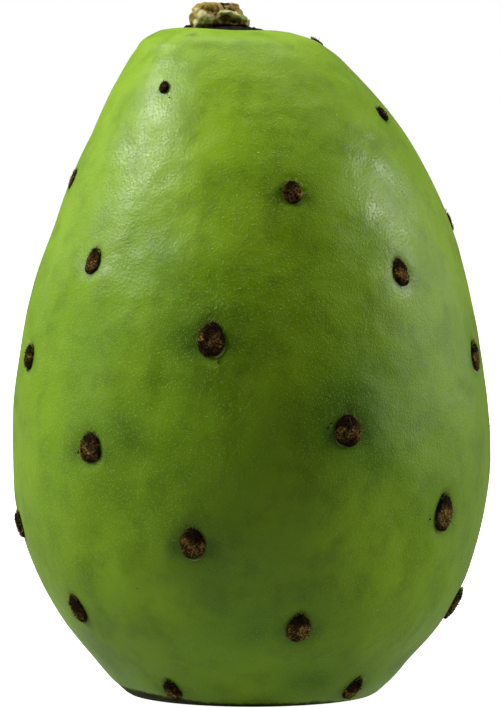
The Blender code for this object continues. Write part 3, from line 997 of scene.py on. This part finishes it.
def on_cushions(which, spread, turn):
    """Along and across in half sizes, and the point of the skin's own level, for places on eggs."""
    along = spread * np.sin(turn)
    across = spread * np.cos(turn) * (1.0 - CUSHION_TAPER * along)
    side, up, _ = areole_frame[:, which]
    place = areole_seat[which] + side * (half_width[which] * across)[:, None]
    return along, across, place + up * (half_length[which] * along)[:, None]


# %% Felt hairs
TUFTS, CURLS, HAIR_SEED = 250, 6, 31
TUFT_LENGTH, TUFT_THICK, TUFT_BEND = (0.14, 0.34), (0.06, 0.11), 0.03
CURL_LENGTH, CURL_THICK, CURL_BEND = (0.6, 1.0), (0.045, 0.065), 0.16
LOWEST_HAIR, HAIR_LEAN, CURL_TONE = 0.5, 0.8, 0.90


def felt_hairs():
    """Short thick tufts spread evenly over each egg, leaning every way, and a few long curls."""
    draw = np.random.default_rng(HAIR_SEED)
    each = TUFTS + CURLS
    count = len(areole_number) * each
    which = np.repeat(np.arange(len(areole_number)), each)
    curl = (np.arange(count) % each) >= TUFTS
    spread = np.sqrt(draw.uniform(0.0, 1.0, count)) * np.where(curl, 0.75, 1.03)
    along, across, place = on_cushions(which, spread, draw.uniform(0.0, math.tau, count))
    proud = areole_proud[which] * (1.0 + CUSHION_LEAN * along)
    proud = proud * np.clip(1.0 - spread**3, 0.0, 1.0) ** 0.45
    side, up, out = areole_frame[:, which]
    root = place + out * (areole_lift[which] + 0.93 * proud)[:, None]
    lean = draw.normal(0.0, HAIR_LEAN, (count, 2)) + 0.5 * np.stack([across, along], axis=1)
    lean = lean * np.where(curl, 2.0, 1.0)[:, None]
    direction = out + side * lean[:, :1] + up * lean[:, 1:]
    length = np.where(curl, draw.uniform(*CURL_LENGTH, count), draw.uniform(*TUFT_LENGTH, count))
    length = length * (0.5 + 0.5 * areole_grown[which])
    thick = np.where(curl, draw.uniform(*CURL_THICK, count), draw.uniform(*TUFT_THICK, count))
    bend = draw.normal(0.0, 1.0, (count, 3)) * np.where(curl, CURL_BEND, TUFT_BEND)[:, None]
    warm = areole_pale[which] * cushion_warmth(along, spread, root)
    luck = draw.uniform(0.0, 1.0, count) ** 2.6
    tone = np.where(curl, CURL_TONE, 0.06 + 0.17 * warm + luck * (0.30 + 0.85 * warm))
    root = raised(root)
    root[:, 2] = np.maximum(root[:, 2], LOWEST_HAIR)
    return spike_arrays(root, direction, length, thick, bend), tone


hair_arrays, hair_tone = felt_hairs()
hair_values = {"tone": np.repeat(hair_tone, SPIKE_POINTS)}
new_piece("felt_hairs", hair_arrays, hair_finish, hair_values)

# %% [markdown]
# Glochids are the tiny barbed bristles that make the fruit unpleasant to hold. They stand in a
# loose fringe round the upper edge of each cushion, straw yellow. They're made like the felt
# hairs, with their roots along the edge instead of all over. A few scraps that broke off lie on
# the skin close by, most of them dark and flat.

# %% Glochids and loose scraps
GLOCHIDS_PER_AREOLE, GLOCHID_SEED = 26, 47
GLOCHID_LENGTH, GLOCHID_THICK, GLOCHID_BEND = (0.32, 0.68), (0.06, 0.085), 0.04
LOWEST_GLOCHID, WORN_LENGTH = 0.6, 0.4
SCRAP_THICK, SCRAP_LIFT = 0.24, 0.08
LOOSE_SCRAPS = (
    # areole, across mm, along mm, turn in degrees, length mm, tone
    (18, -2.09, 0.96, 35.0, 0.42, 0.02),
    (18, -2.57, 0.37, 20.0, 0.40, 0.02),
    (18, -1.50, 0.43, -25.0, 0.36, 0.05),
    (5, -1.42, 0.35, 10.0, 0.32, 0.02),
    (23, -2.95, -0.50, 80.0, 0.24, 0.02),
    (21, -1.95, -0.60, 70.0, 0.40, 0.02),
    (13, 0.95, -2.55, 80.0, 0.52, 0.75),
    (0, 1.15, -1.25, 60.0, 0.24, 0.05),
)


def glochids():
    """Roots along the cushions' outlines, crowded at the narrow upper end, pointing away."""
    draw = np.random.default_rng(GLOCHID_SEED)
    count = len(areole_number) * GLOCHIDS_PER_AREOLE
    which = np.repeat(np.arange(len(areole_number)), GLOCHIDS_PER_AREOLE)
    turn = math.pi / 2 + draw.normal(0.0, 0.75, count)
    *_, place = on_cushions(which, draw.uniform(0.94, 1.10, count), turn)
    side, up, out = areole_frame[:, which]
    root = raised(place + out * (areole_lift[which] + draw.uniform(-0.05, 0.2, count))[:, None])
    lean = draw.normal(0.0, 0.35, (count, 2)) + np.stack([np.cos(turn), np.sin(turn)], axis=1)
    direction = out * 0.7 + side * lean[:, :1] + up * lean[:, 1:]
    length = draw.uniform(*GLOCHID_LENGTH, count) * (0.5 + 0.5 * areole_grown[which])
    length = length * np.where(areole_proud[which] < PROUD_TOP, WORN_LENGTH, 1.0)
    thick = draw.uniform(*GLOCHID_THICK, count)
    bend = draw.normal(0.0, GLOCHID_BEND, (count, 3))
    root[:, 2] = np.maximum(root[:, 2], LOWEST_GLOCHID)
    return spike_arrays(root, direction, length, thick, bend)


def two_tone_finish(name, roughness, contrast, first, second):
    """Two plain colours in patches about half a millimetre across."""
    material, finish = new_material(name, roughness=roughness)
    finish.surface(base_color=finish.blend(patches(finish, 0.6, contrast), first, second))
    return material


glochid_finish = two_tone_finish("glochid", 0.45, 2.0, (0.42, 0.45, 0.07), (0.72, 0.66, 0.22))
new_piece("glochids", glochids(), glochid_finish)


def loose_scraps():
    """Flat spikes lying on the skin beside their areole, a hair's breadth proud of it."""
    rows = np.array(LOOSE_SCRAPS)
    which = rows[:, 0].astype(int) - FIRST_AREOLE
    azimuth = areole_azimuth[which] + rows[:, 1] / wall_radius(areole_height[which])
    height = areole_height[which] + rows[:, 2]
    seat = wall_point(azimuth, height)
    side, up, out = wall_frame(azimuth, height)
    seat = seat + out * (areole_relief(seat) + SCRAP_LIFT)[:, None]
    turn = np.radians(rows[:, 3])[:, None]
    direction = side * np.cos(turn) + up * np.sin(turn)
    length = rows[:, 4]
    root = seat - direction * 0.5 * length[:, None]
    return spike_arrays(root, direction, length, np.full(len(rows), SCRAP_THICK), 0.0 * out)


scrap_values = {"tone": np.repeat([row[-1] for row in LOOSE_SCRAPS], SPIKE_POINTS)}
new_piece("loose_scraps", loose_scraps(), hair_finish, scrap_values)

# %% [markdown]
# A leaf once sat below each cushion and fell off early. On some areoles its scar still shows, as
# a thin pale crescent that hugs the lower edge. Each crescent is a narrow raised strip along a
# part of the cushion's egg outline, thickest in its middle.

# %% Leaf-scar crescents
CRESCENT_STEPS, CRESCENT_SIDES, CRESCENT_AT = 24, 8, 1.10
CRESCENTS = (
    # areole, first and last turn in degrees round the egg, width mm
    (13, -78.0, -22.0, 0.34),
    (15, -135.0, -60.0, 0.34),
    (18, -150.0, -115.0, 0.18),
    (21, -120.0, -62.0, 0.18),
    (26, -112.0, -66.0, 0.18),
    (10, -80.0, -35.0, 0.20),
    (9, -130.0, -50.0, 0.30),
    (12, -120.0, -50.0, 0.26),
    (17, -125.0, -60.0, 0.28),
    (22, -110.0, -55.0, 0.30),
)


def crescents():
    """Tubes shaped (crescents, steps, sides, 3) along the egg, whose size is a half sine."""
    rows = np.array(CRESCENTS)
    which = rows[:, 0].astype(int) - FIRST_AREOLE
    share = np.linspace(0.0, 1.0, CRESCENT_STEPS)[None, :]
    turn = np.radians(rows[:, 1:2] + share * (rows[:, 2:3] - rows[:, 1:2]))
    narrowed = 1.0 - CUSHION_TAPER * np.sin(turn)
    along = CRESCENT_AT * half_length[which][:, None] * np.sin(turn)
    across = CRESCENT_AT * half_width[which][:, None] * np.cos(turn) * narrowed
    thick = 0.5 * rows[:, 3:4] * np.maximum(np.sin(math.pi * share), 0.08) ** 0.6
    side, up, out = areole_frame[:, which, None]
    middle = areole_seat[which][:, None] + across[..., None] * side + along[..., None] * up
    middle = middle + out * (areole_relief(middle) - 0.01)[..., None]
    away = np.cos(turn)[..., None] * side + np.sin(turn)[..., None] * up
    circle = all_round(CRESCENT_SIDES)[0]
    ring = middle[:, :, None] + (thick[..., None] * np.cos(circle))[..., None] * away[:, :, None]
    return ring + 0.6 * (thick[..., None] * np.sin(circle))[..., None] * out[:, :, None]


scar_finish = two_tone_finish("leaf_scar", 0.6, 2.5, (0.40, 0.44, 0.09), (0.62, 0.58, 0.22))
new_piece("leaf_scars", stacks_to_arrays(crescents()), scar_finish)

# %% [markdown]
# The stem scar is where the fruit was twisted off its pad: a ragged corky plate, black-brown and
# flaky. It's thick on the right of the scrap of stem that stayed on it, and hardly there on the
# left, apart from a flake. It's a round grid of rings whose rim wanders in and out. Its height
# follows x, and the flakes and some waves are added.

# %% The corky scar
CORK_CENTRE_X, CORK_RADIUS, CORK_THICK = float(wall_shift(BODY_HEIGHT)), 5.0, 0.36
CORK_RINGS, CORK_COLUMNS, CORK_FOOT, CORK_INNER = 34, 180, -0.35, 0.30
CORK_STEP_UP, CORK_STEP_DOWN, CORK_THINNED = (-3.2, 1.0), (2.6, 5.0), 0.78
CORK_BLACK = (0.006, 0.004, 0.002)
CORK_BROWN = (0.020, 0.011, 0.004)
CORK_TAN = (0.100, 0.050, 0.018)
FLAKES = (
    # x and y from the plate's middle in mm, height mm, width mm
    (-4.80, -0.40, 0.34, 0.30),
    (-4.45, 0.30, 0.35, 0.40),
    (3.70, -1.60, 0.12, 0.50),
    (4.30, 0.40, 0.14, 0.45),
    (1.00, -3.90, 0.10, 0.80),
    (2.20, 3.60, 0.30, 0.60),
    (-2.20, 3.80, 0.35, 0.80),
)


def cork_stack():
    """Rings from the middle out over the top, then in again underneath.

    Height: thick times a step up and a step down in x, thinner towards the rim, plus the flakes
    as bells and some waves."""
    share = np.linspace(CORK_INNER, 1.0, CORK_RINGS)[:, None]
    circle = turned(1.0, all_round(CORK_COLUMNS), 0.0)
    wander = 0.03 * waves(circle * 3.0, 61, 2.2) + 0.025 * waves(circle * 3.0, 62, 0.7)
    place = circle * (share * CORK_RADIUS * (1.0 + wander))[..., None]
    thick = CORK_THICK * eased(place[..., 0], *CORK_STEP_UP)
    thick = thick * (1.0 - CORK_THINNED * eased(place[..., 0], *CORK_STEP_DOWN))
    height = (thick + 0.03) * (1.0 - share**6) + 0.35 * thick * waves(place, 64, 0.6)
    for x, y, lift, width in FLAKES:
        height = height + lift * bell(np.linalg.norm(place - (x, y, 0.0), axis=-1), width)
    height = np.maximum(height, 0.02) * np.clip((1.0 - share) * 14.0, 0.0, 1.0) ** 0.5
    top = place + (CORK_CENTRE_X, 0.0, SCAR_TOP) + height[..., None] * (0.0, 0.0, 1.0)
    under = top[::-1].copy()
    under[..., 2] = SCAR_TOP + CORK_FOOT
    return raised(np.concatenate([top, under])[::-1])


def corky_finish(name, blotch, contrast, level, stops, grain, depth, **plain):
    """Dry tissue: stretched noise through the stops, and a finer noise as relief."""
    material, finish = new_material(name, roughness=0.85, **plain)
    tone = finish.sum("MULTIPLY_ADD", finish.noise(*blotch), contrast, level)
    relief = finish.bump(finish.noise(*grain), depth)
    finish.surface(base_color=finish.ramp(tone, stops), normal=relief)
    return material


cork_stops = ((0.25, CORK_BLACK), (0.55, CORK_BROWN), (0.85, CORK_TAN))
cork_look = ((0.9, 4.0, 0.7), 1.3, -0.25, cork_stops, (0.35, 3.0, 0.7), 0.15)
cork_finish = corky_finish("corky_scar", *cork_look, specular_ior_level=0.15)
new_piece("corky_scar", stacks_to_arrays(cork_stack()[None]), cork_finish)

# %% [markdown]
# What stayed on the scar is a dry torn lump of the pad: fibrous, cream where it tore, ochre and
# brown where it weathered. It has a fat lobe on the left, a cleft down its middle, a small hollow
# below the cleft where the sap vessels ran, and a pale lip that arches over the hollow. Its sides
# follow a table of levels. Each feature then pushes the surface out or in by a bell curve round a
# short line across the front or the back.

# %% Shape of the torn stub
STUB_LEVELS = np.array(
    (
        # height over the body's top level, x of the left and of the right side, in mm
        (0.05, -7.10, -0.35),
        (0.50, -7.36, -0.14),
        (0.91, -7.60, -0.16),
        (1.37, -7.72, -0.24),
        (1.77, -7.74, -0.50),
        (2.03, -7.69, -0.86),
        (2.39, -7.40, -1.03),
        (2.75, -7.38, -1.37),
        (3.15, -7.05, -1.54),
        (3.40, -6.75, -1.80),
        (3.50, -6.30, -2.20),
    )
)
STUB_DEPTH_SHARE, STUB_CAP_RISE = 0.84, 0.08
STUB_SIDE_RINGS, STUB_CAP_RINGS, STUB_COLUMNS = 90, 40, 220
STUB_MIDDLE, STUB_SPREAD = np.array((-4.0, 0.0, BODY_HEIGHT + 1.4)), (1.0, 1.2, 0.8)
STUB_LOBES = (
    # size as a share, lobes, start in radians
    (0.06, 2, 0.4),
    (0.05, 3, 1.9),
    (0.035, 5, 0.7),
)
STUB_TEARS = (
    # seed, wavelength mm, share of the height, size mm
    (71, 1.5, 1.0, 0.06),
    (72, 0.6, 0.6, 0.05),
    (73, 0.28, 0.5, 0.03),
)
TORN_AWAY = 0.08
STUB_FEATURES = (
    # front (1) or back (-1), x and height of both ends, width mm, push out mm
    (1, -6.05, 84.80, -5.60, 84.60, 0.80, 0.25),
    (1, -6.60, 86.00, -5.60, 86.05, 0.45, 0.15),
    (1, -5.95, 85.62, -4.75, 85.42, 0.22, -0.28),
    (1, -4.16, 86.50, -4.10, 85.50, 0.24, -0.25),
    (1, -4.15, 85.20, -4.60, 84.00, 0.34, -0.14),
    (1, -3.38, 84.18, -3.12, 84.50, 0.48, -0.50),
    (1, -3.75, 85.16, -2.78, 85.18, 0.26, 0.30),
    (1, -2.78, 85.18, -1.60, 84.74, 0.28, 0.34),
    (1, -1.60, 84.74, -0.36, 84.20, 0.32, 0.26),
    (1, -2.50, 84.14, -1.45, 84.00, 0.34, -0.50),
    (1, -2.25, 85.95, -1.95, 85.85, 0.45, 0.14),
    (1, -3.30, 86.25, -3.20, 85.85, 0.30, -0.25),
    (1, -2.65, 85.62, -2.05, 85.50, 0.20, -0.22),
    (1, -5.40, 83.45, -0.70, 83.38, 0.30, -0.45),
    (1, -6.90, 83.80, -6.75, 83.55, 0.32, 0.18),
    (-1, -5.80, 85.90, -4.40, 84.30, 0.50, -0.55),
    (-1, -3.10, 84.90, -1.60, 85.40, 0.45, 0.35),
    (-1, -2.60, 84.00, -1.80, 83.90, 0.50, -0.40),
)


def near_line(points, face, x0, z0, x1, z1, width):
    """Bell curve of the distance, seen from the front, to a line; only on that face."""
    line = np.array((x1 - x0, z1 - z0))
    away = points[..., [0, 2]] - np.array((x0, z0))
    share = np.clip(away @ line / (line @ line), 0.0, 1.0)
    distance = np.linalg.norm(away - share[..., None] * line, axis=-1)
    return bell(distance, width) * eased(-face * points[..., 1], -0.3, 0.9)


def stub_stack():
    """Rings up the sides, then shrinking rings over the top, then features, then tearing."""
    level = np.linspace(0.0, 1.0, STUB_SIDE_RINGS)
    over = STUB_LEVELS[0, 0] + level * (STUB_LEVELS[-1, 0] - STUB_LEVELS[0, 0])
    left, right = (np.interp(over, STUB_LEVELS[:, 0], STUB_LEVELS[:, i]) for i in (1, 2))
    shrink = np.linspace(1.0, 0.0, STUB_CAP_RINGS + 1)[1:] * 0.98 + 0.02
    middle, half = 0.5 * (left[-1] + right[-1]), 0.5 * (right[-1] - left[-1])
    centre = np.concatenate([0.5 * (left + right), np.full(STUB_CAP_RINGS, middle)])[:, None]
    half = np.concatenate([0.5 * (right - left), half * shrink])[:, None]
    over = np.concatenate([over, over[-1] + STUB_CAP_RISE * (1.0 - shrink**3)])[:, None]
    turn = all_round(STUB_COLUMNS)
    edge = 1.0 + sum(size * np.sin(lobes * turn + start) for size, lobes, start in STUB_LOBES)
    x = centre + half * np.sign(np.cos(turn)) * np.abs(np.cos(turn)) ** 0.9
    y = STUB_DEPTH_SHARE * half * edge * np.sin(turn)
    base = np.stack(np.broadcast_arrays(x, y, BODY_HEIGHT + over), axis=-1)
    push = -TORN_AWAY
    for *line, size in STUB_FEATURES:
        push = push + size * near_line(base, *line)
    for seed, wavelength, flat, size in STUB_TEARS:
        push = push + size * waves(base * (1.0, 1.0, flat), seed, wavelength)
    return base + unit((base - STUB_MIDDLE) * STUB_SPREAD) * push[..., None], base


stub_points, stub_base = stub_stack()
print("top of the stub at", stub_points[..., 2].max().round(2), "mm")

# %% Colours of the torn stub
STUB_TAN = (0.560, 0.450, 0.170)
STUB_OCHRE = (0.480, 0.330, 0.070)
STUB_GROOVE_SHADE = (0.260, 0.190, 0.055)
STUB_TINTS = {
    "ochre": (0.480, 0.320, 0.050),
    "olive_and_painted_shade": (0.250, 0.190, 0.050),
    "cream": (0.800, 0.740, 0.350),
    "green": (0.400, 0.500, 0.150),
    "rust": (0.500, 0.200, 0.050),
    "brown": (0.260, 0.135, 0.040),
    "black_and_painted_shade": (0.007, 0.012, 0.012),
}
# The olive and black stains are partly painted shade: olive on the shaded left flank and down the
# cleft, black along the stub's foot and under the lip over the hollow; the rest are its own marks.
STUB_STAINS = {
    # front (1) or back (-1), x and height of both ends, width mm, strength
    "ochre": (
        (1, -6.85, 86.15, -4.40, 86.30, 0.40, 1.0),
        (-1, -3.20, 85.80, -1.90, 85.60, 0.60, 1.0),
    ),
    "olive_and_painted_shade": (
        (1, -7.60, 84.90, -7.05, 84.30, 0.38, 0.9),
        (1, -6.25, 83.52, -6.05, 83.45, 0.26, 0.8),
        (1, -4.30, 85.20, -4.70, 84.10, 0.24, 0.6),
        (1, -2.50, 84.35, -1.30, 84.25, 0.24, 0.8),
    ),
    "cream": (
        (1, -6.20, 84.90, -4.95, 84.55, 0.50, 1.1),
        (1, -6.80, 85.60, -5.95, 85.25, 0.28, 0.8),
        (1, -6.95, 84.05, -6.80, 83.60, 0.34, 1.3),
        (1, -6.50, 84.05, -5.00, 83.90, 0.24, 1.0),
        (1, -3.75, 85.22, -1.90, 85.25, 0.22, 1.2),
        (1, -2.78, 85.10, -1.60, 84.74, 0.24, 1.2),
        (1, -0.45, 84.40, -0.40, 83.70, 0.16, 1.0),
        (-1, -6.60, 84.10, -3.60, 84.60, 0.60, 1.0),
    ),
    "green": (
        (1, -1.45, 84.85, -0.70, 84.55, 0.26, 1.0),
        (1, -3.90, 85.25, -3.60, 85.05, 0.18, 0.7),
    ),
    "rust": (
        (1, -5.75, 85.58, -5.45, 85.62, 0.20, 0.8),
        (1, -4.95, 85.60, -4.85, 85.35, 0.22, 1.0),
        (1, -2.10, 86.18, -1.72, 86.08, 0.20, 0.9),
        (1, -3.25, 84.25, -3.00, 84.05, 0.20, 0.7),
    ),
    "brown": (
        (1, -3.55, 84.45, -2.95, 84.35, 0.38, 1.1),
        (1, -5.45, 85.40, -5.30, 85.18, 0.15, 1.1),
        (1, -2.70, 85.66, -2.06, 85.50, 0.20, 1.0),
        (1, -2.70, 86.22, -1.65, 86.15, 0.20, 0.8),
        (1, -4.40, 84.20, -4.15, 83.80, 0.26, 0.6),
        (1, -1.70, 84.05, -0.90, 83.85, 0.26, 0.7),
        (-1, -5.80, 85.90, -4.40, 84.40, 0.40, 1.1),
    ),
    "black_and_painted_shade": (
        (1, -3.55, 86.45, -2.90, 86.40, 0.26, 1.4),
        (1, -3.35, 86.10, -3.20, 85.90, 0.20, 0.7),
        (1, -4.18, 86.20, -4.05, 85.65, 0.12, 0.4),
        (1, -3.60, 84.72, -2.95, 84.86, 0.11, 0.8),
        (1, -2.95, 84.86, -2.50, 84.62, 0.11, 0.7),
        (1, -3.78, 84.60, -3.70, 84.35, 0.12, 0.6),
        (1, -2.05, 83.98, -1.75, 83.92, 0.20, 1.2),
        (1, -4.60, 83.42, -0.50, 83.38, 0.24, 1.4),
        (1, -0.16, 84.10, -0.12, 83.40, 0.10, 0.8),
        (-1, -4.90, 83.40, -1.00, 83.40, 0.35, 1.2),
    ),
}


def stub_stain(rows):
    """Largest of the strength x bell curves of one tint's stains."""
    stains = [strength * near_line(stub_base, *line) for *line, strength in rows]
    return closed_values(np.max(stains, axis=0))


def make_stub_finish():
    """Tan, then each tint by its stored stain, broken up by fibres, with painted olive shade in the
    fibres' grooves at the end.
    """
    material, finish = new_material("torn_stub", roughness=0.8, specular_ior_level=0.2)
    fibre = finish.noise(0.35, 4.0, 0.65, finish.place((1.0, 1.0, 0.5)))
    colour = finish.blend(finish.fit(patches(finish, 1.3), 0.2, 0.9), STUB_OCHRE, STUB_TAN)
    breaks = finish.sum("MULTIPLY_ADD", fibre, 0.9, -0.45)
    for label, tint in STUB_TINTS.items():
        broken = finish.sum("ADD", finish.stored(label), breaks)
        colour = finish.blend(finish.fit(broken, 0.30, 0.70), colour, tint)
    # Painted shade: olive in the low grooves of the fibre relief.
    shaded = finish.blend(finish.fit(fibre, 0.30, 0.50, 0.45, 0.0), colour, STUB_GROOVE_SHADE)
    finish.surface(base_color=shaded, normal=finish.bump(fibre, 0.12))
    return material


stub_values = {label: stub_stain(rows) for label, rows in STUB_STAINS.items()}
stub_arrays, stub_finish = stacks_to_arrays(stub_points[None]), make_stub_finish()
stub = new_piece("torn_stub", stub_arrays, stub_finish, stub_values)
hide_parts("stem_stub")

# %% [markdown]
# The wide end carries the flower scar, the dry floor of the dish where the petals stood. It's out
# of sight while the fruit stands, and it's finished all the same: a thin corky disc with a round
# style scar in its middle, faint rings where the petals broke off, and fine spokes.

# %% The flower scar
FLOWER_RADIUS, FLOWER_RINGS, FLOWER_COLUMNS, FLOWER_SUNK = 8.3, 60, 160, 0.6
FLOWER_BROWN = (0.070, 0.040, 0.018)
FLOWER_TAN = (0.210, 0.150, 0.060)
FLOWER_GREEN = (0.120, 0.160, 0.030)
FLOWER_THICK, RING_STEP, RING_SIZE, SPOKES, SPOKE_SIZE = 0.28, 1.9, 0.16, 34, 0.05


def flower_stack():
    """A disc whose underside hangs below the dish floor: rings, spokes and a style, plus waves."""
    azimuth = all_round(FLOWER_COLUMNS)
    radius = np.linspace(0.05, FLOWER_RADIUS, FLOWER_RINGS)[:, None]
    share = radius / FLOWER_RADIUS
    steps = RING_SIZE * np.sin(radius * math.tau / RING_STEP) * np.clip(share * 3.0, 0.0, 1.0)
    spokes = SPOKE_SIZE * np.sin(azimuth * SPOKES) * share
    style = 0.55 * bell(radius, 0.9) - 0.25 * bell(radius - 1.5, 0.5)
    flat = turned(radius, azimuth, 0.0, wall_shift(0.0))
    thick = FLOWER_THICK + steps + spokes + style + 0.06 * waves(flat, 81, 0.9)
    thick = thick * np.clip((1.0 - share) * 10.0, 0.0, 1.0) ** 0.5
    under, above = flat.copy(), flat[::-1].copy()
    under[..., 2] = dish_floor(radius) - thick
    above[..., 2] = dish_floor(radius[::-1]) + FLOWER_SUNK
    return np.concatenate([under, above])


flower_stops = ((0.25, FLOWER_BROWN), (0.60, FLOWER_TAN), (0.90, FLOWER_GREEN))
flower_look = ((1.1, 4.0, 0.65), 1.2, -0.1, flower_stops, (0.4, 3.0, 0.6), 0.1)
flower_finish = corky_finish("flower_scar", *flower_look)
new_piece("flower_scar", stacks_to_arrays(flower_stack()[None]), flower_finish)

# %% [markdown]
# The photograph's viewpoint is a hand's width above the table and well back, level with the flat
# stem end, so the rim of the wide end shows as a shallow arc. A long lens at that distance gives
# the same slight perspective.

# %% Camera
CAMERA_BACK, CAMERA_HEIGHT, AIM_HEIGHT = 0.650, 0.083, 0.042523
FRAME_LONG_SIDE, PIXELS_PER_MM, SENSOR_WIDTH = 708, 8.0, 36.0


def make_camera():
    """A level camera in front, pitched down to the aim height, with the lens for that scale."""
    camera = new_object("camera", bpy.data.cameras.new("camera"))
    camera.location = (0.0, -CAMERA_BACK, CAMERA_HEIGHT)
    pitch = math.atan2(CAMERA_HEIGHT - AIM_HEIGHT, CAMERA_BACK)
    camera.rotation_euler = (math.pi / 2 - pitch, 0.0, 0.0)
    camera.data.sensor_width = SENSOR_WIDTH
    camera.data.lens = SENSOR_WIDTH * PIXELS_PER_MM * CAMERA_BACK / MM / FRAME_LONG_SIDE
    camera.data.clip_start = 0.01
    bpy.context.scene.camera = camera
    return camera


camera = make_camera()
print("lens", round(camera.data.lens, 1), "mm")

# %% [markdown]
# The studio is a white table before a bright white backdrop, in an otherwise dark room. A bright
# softbox hangs high on the left, with a small one before it, and a weaker one on the right. The
# largest leans over from behind. So the sides of the fruit are bright and its front falls off to
# a deeper green. Low, dim boxes on both sides lighten the flanks, and the two furthest back draw
# a thin bright edge. The backdrop shines along the edges too, because every surface mirrors more
# at a grazing angle.

# %% Table and surround
TABLE_WHITE, TABLE_GREY, TABLE_GLOW, BACKDROP_GLOW = 0.90, 0.20, 0.21, 0.11
TABLE_CORNERS = ((-3.0, -2.0, 0.0), (3.0, -2.0, 0.0), (3.0, 4.0, 0.0), (-3.0, 4.0, 0.0))
GLOW_STRETCH, GLOW_BEGINS, GLOW_FADES = (1.5, 1.0, 1.0), (0.015, 0.018), (0.028, 0.085)


def make_floor():
    """A square that the camera sees overexposed, and that lights the fruit only from close by.

    The glow fades with the distance from the middle, and sooner to the sides than to the front."""
    mesh = bpy.data.meshes.new("table")
    mesh.from_pydata(TABLE_CORNERS, [], [(0, 1, 2, 3)])
    floor = new_object("table", mesh)
    material, finish = new_material("table_white", roughness=0.9, emission_color=(1.0, 1.0, 1.0))
    seen = finish.node("ShaderNodeLightPath").outputs["Is Camera Ray"]
    tint = finish.blend(seen, (TABLE_GREY,) * 3, (TABLE_WHITE,) * 3)
    inputs = {0: finish.place(GLOW_STRETCH)}
    away = finish.node("ShaderNodeVectorMath", inputs, operation="LENGTH").outputs["Value"]
    begins, fades = finish.fit(away, *GLOW_BEGINS), finish.fit(away, *GLOW_FADES, TABLE_GLOW, 0.0)
    glow = finish.sum("MAXIMUM", seen, finish.sum("MULTIPLY", begins, fades))
    finish.surface(base_color=tint, emission_strength=glow)
    mesh.materials.append(material)


def make_surround():
    """White to the camera. To the fruit, bright behind it and dark in front of it."""
    world = bpy.data.worlds.new("surround")
    bpy.context.scene.world = world
    world.use_nodes = True
    finish = Finish(world.node_tree)
    background = world.node_tree.nodes["Background"].inputs
    direction = finish.node("ShaderNodeTexCoord").outputs["Generated"]
    backdrop = finish.fit(finish.axis(direction, "Y"), 0.1, 0.7, 0.0, BACKDROP_GLOW)
    seen = finish.node("ShaderNodeLightPath").outputs["Is Camera Ray"]
    finish.put(background["Color"], (1.0, 1.0, 1.0))
    finish.put(background["Strength"], finish.sum("MAXIMUM", seen, backdrop))


make_floor()
make_surround()
bpy.context.scene.view_settings.view_transform = "Standard"
print("table", TABLE_WHITE, "backdrop", BACKDROP_GLOW)

# %% Softboxes
CENTRE = np.array((0.0, 0.0, 0.045))
LIGHTS = (
    # name, azimuth, elevation, distance m, size m, watts
    ("left_softbox", -95.0, 39.5, 0.9, (0.30, 0.26), 5.6),
    ("left_front_softbox", -77.0, 46.0, 0.9, (0.20, 0.22), 1.3),
    ("left_low_softbox", -88.0, 8.0, 0.9, (0.40, 0.20), 0.32),
    ("right_softbox", 96.0, 28.0, 0.9, (0.24, 0.20), 2.65),
    ("right_low_softbox", 92.0, 8.0, 0.9, (0.50, 0.24), 0.80),
    ("top_softbox", 180.0, 74.0, 1.2, (1.10, 0.90), 6.4),
    ("left_rim", -130.0, 15.0, 0.9, (0.30, 0.30), 0.20),
    ("right_rim", 122.0, 8.0, 0.9, (0.30, 0.30), 0.42),
)


def make_light(name, azimuth, elevation, distance, size, watts):
    """A rectangular softbox of size (width, height) in metres, facing the middle of the fruit.

    Azimuth 0 is the camera's side and grows to the right; elevation is up from the table."""
    light = bpy.data.lights.new(name, "AREA")
    light.shape = "RECTANGLE"
    light.size, light.size_y = size
    light.energy = watts
    made = new_object(name, light)
    turn, rise = math.radians(azimuth), math.radians(elevation)
    made.location = CENTRE + distance * turned(math.cos(rise), turn, math.sin(rise))
    made.rotation_euler = (math.pi / 2 - rise, 0.0, turn)


for row in LIGHTS:
    make_light(*row)
print(len(LIGHTS), "softboxes")
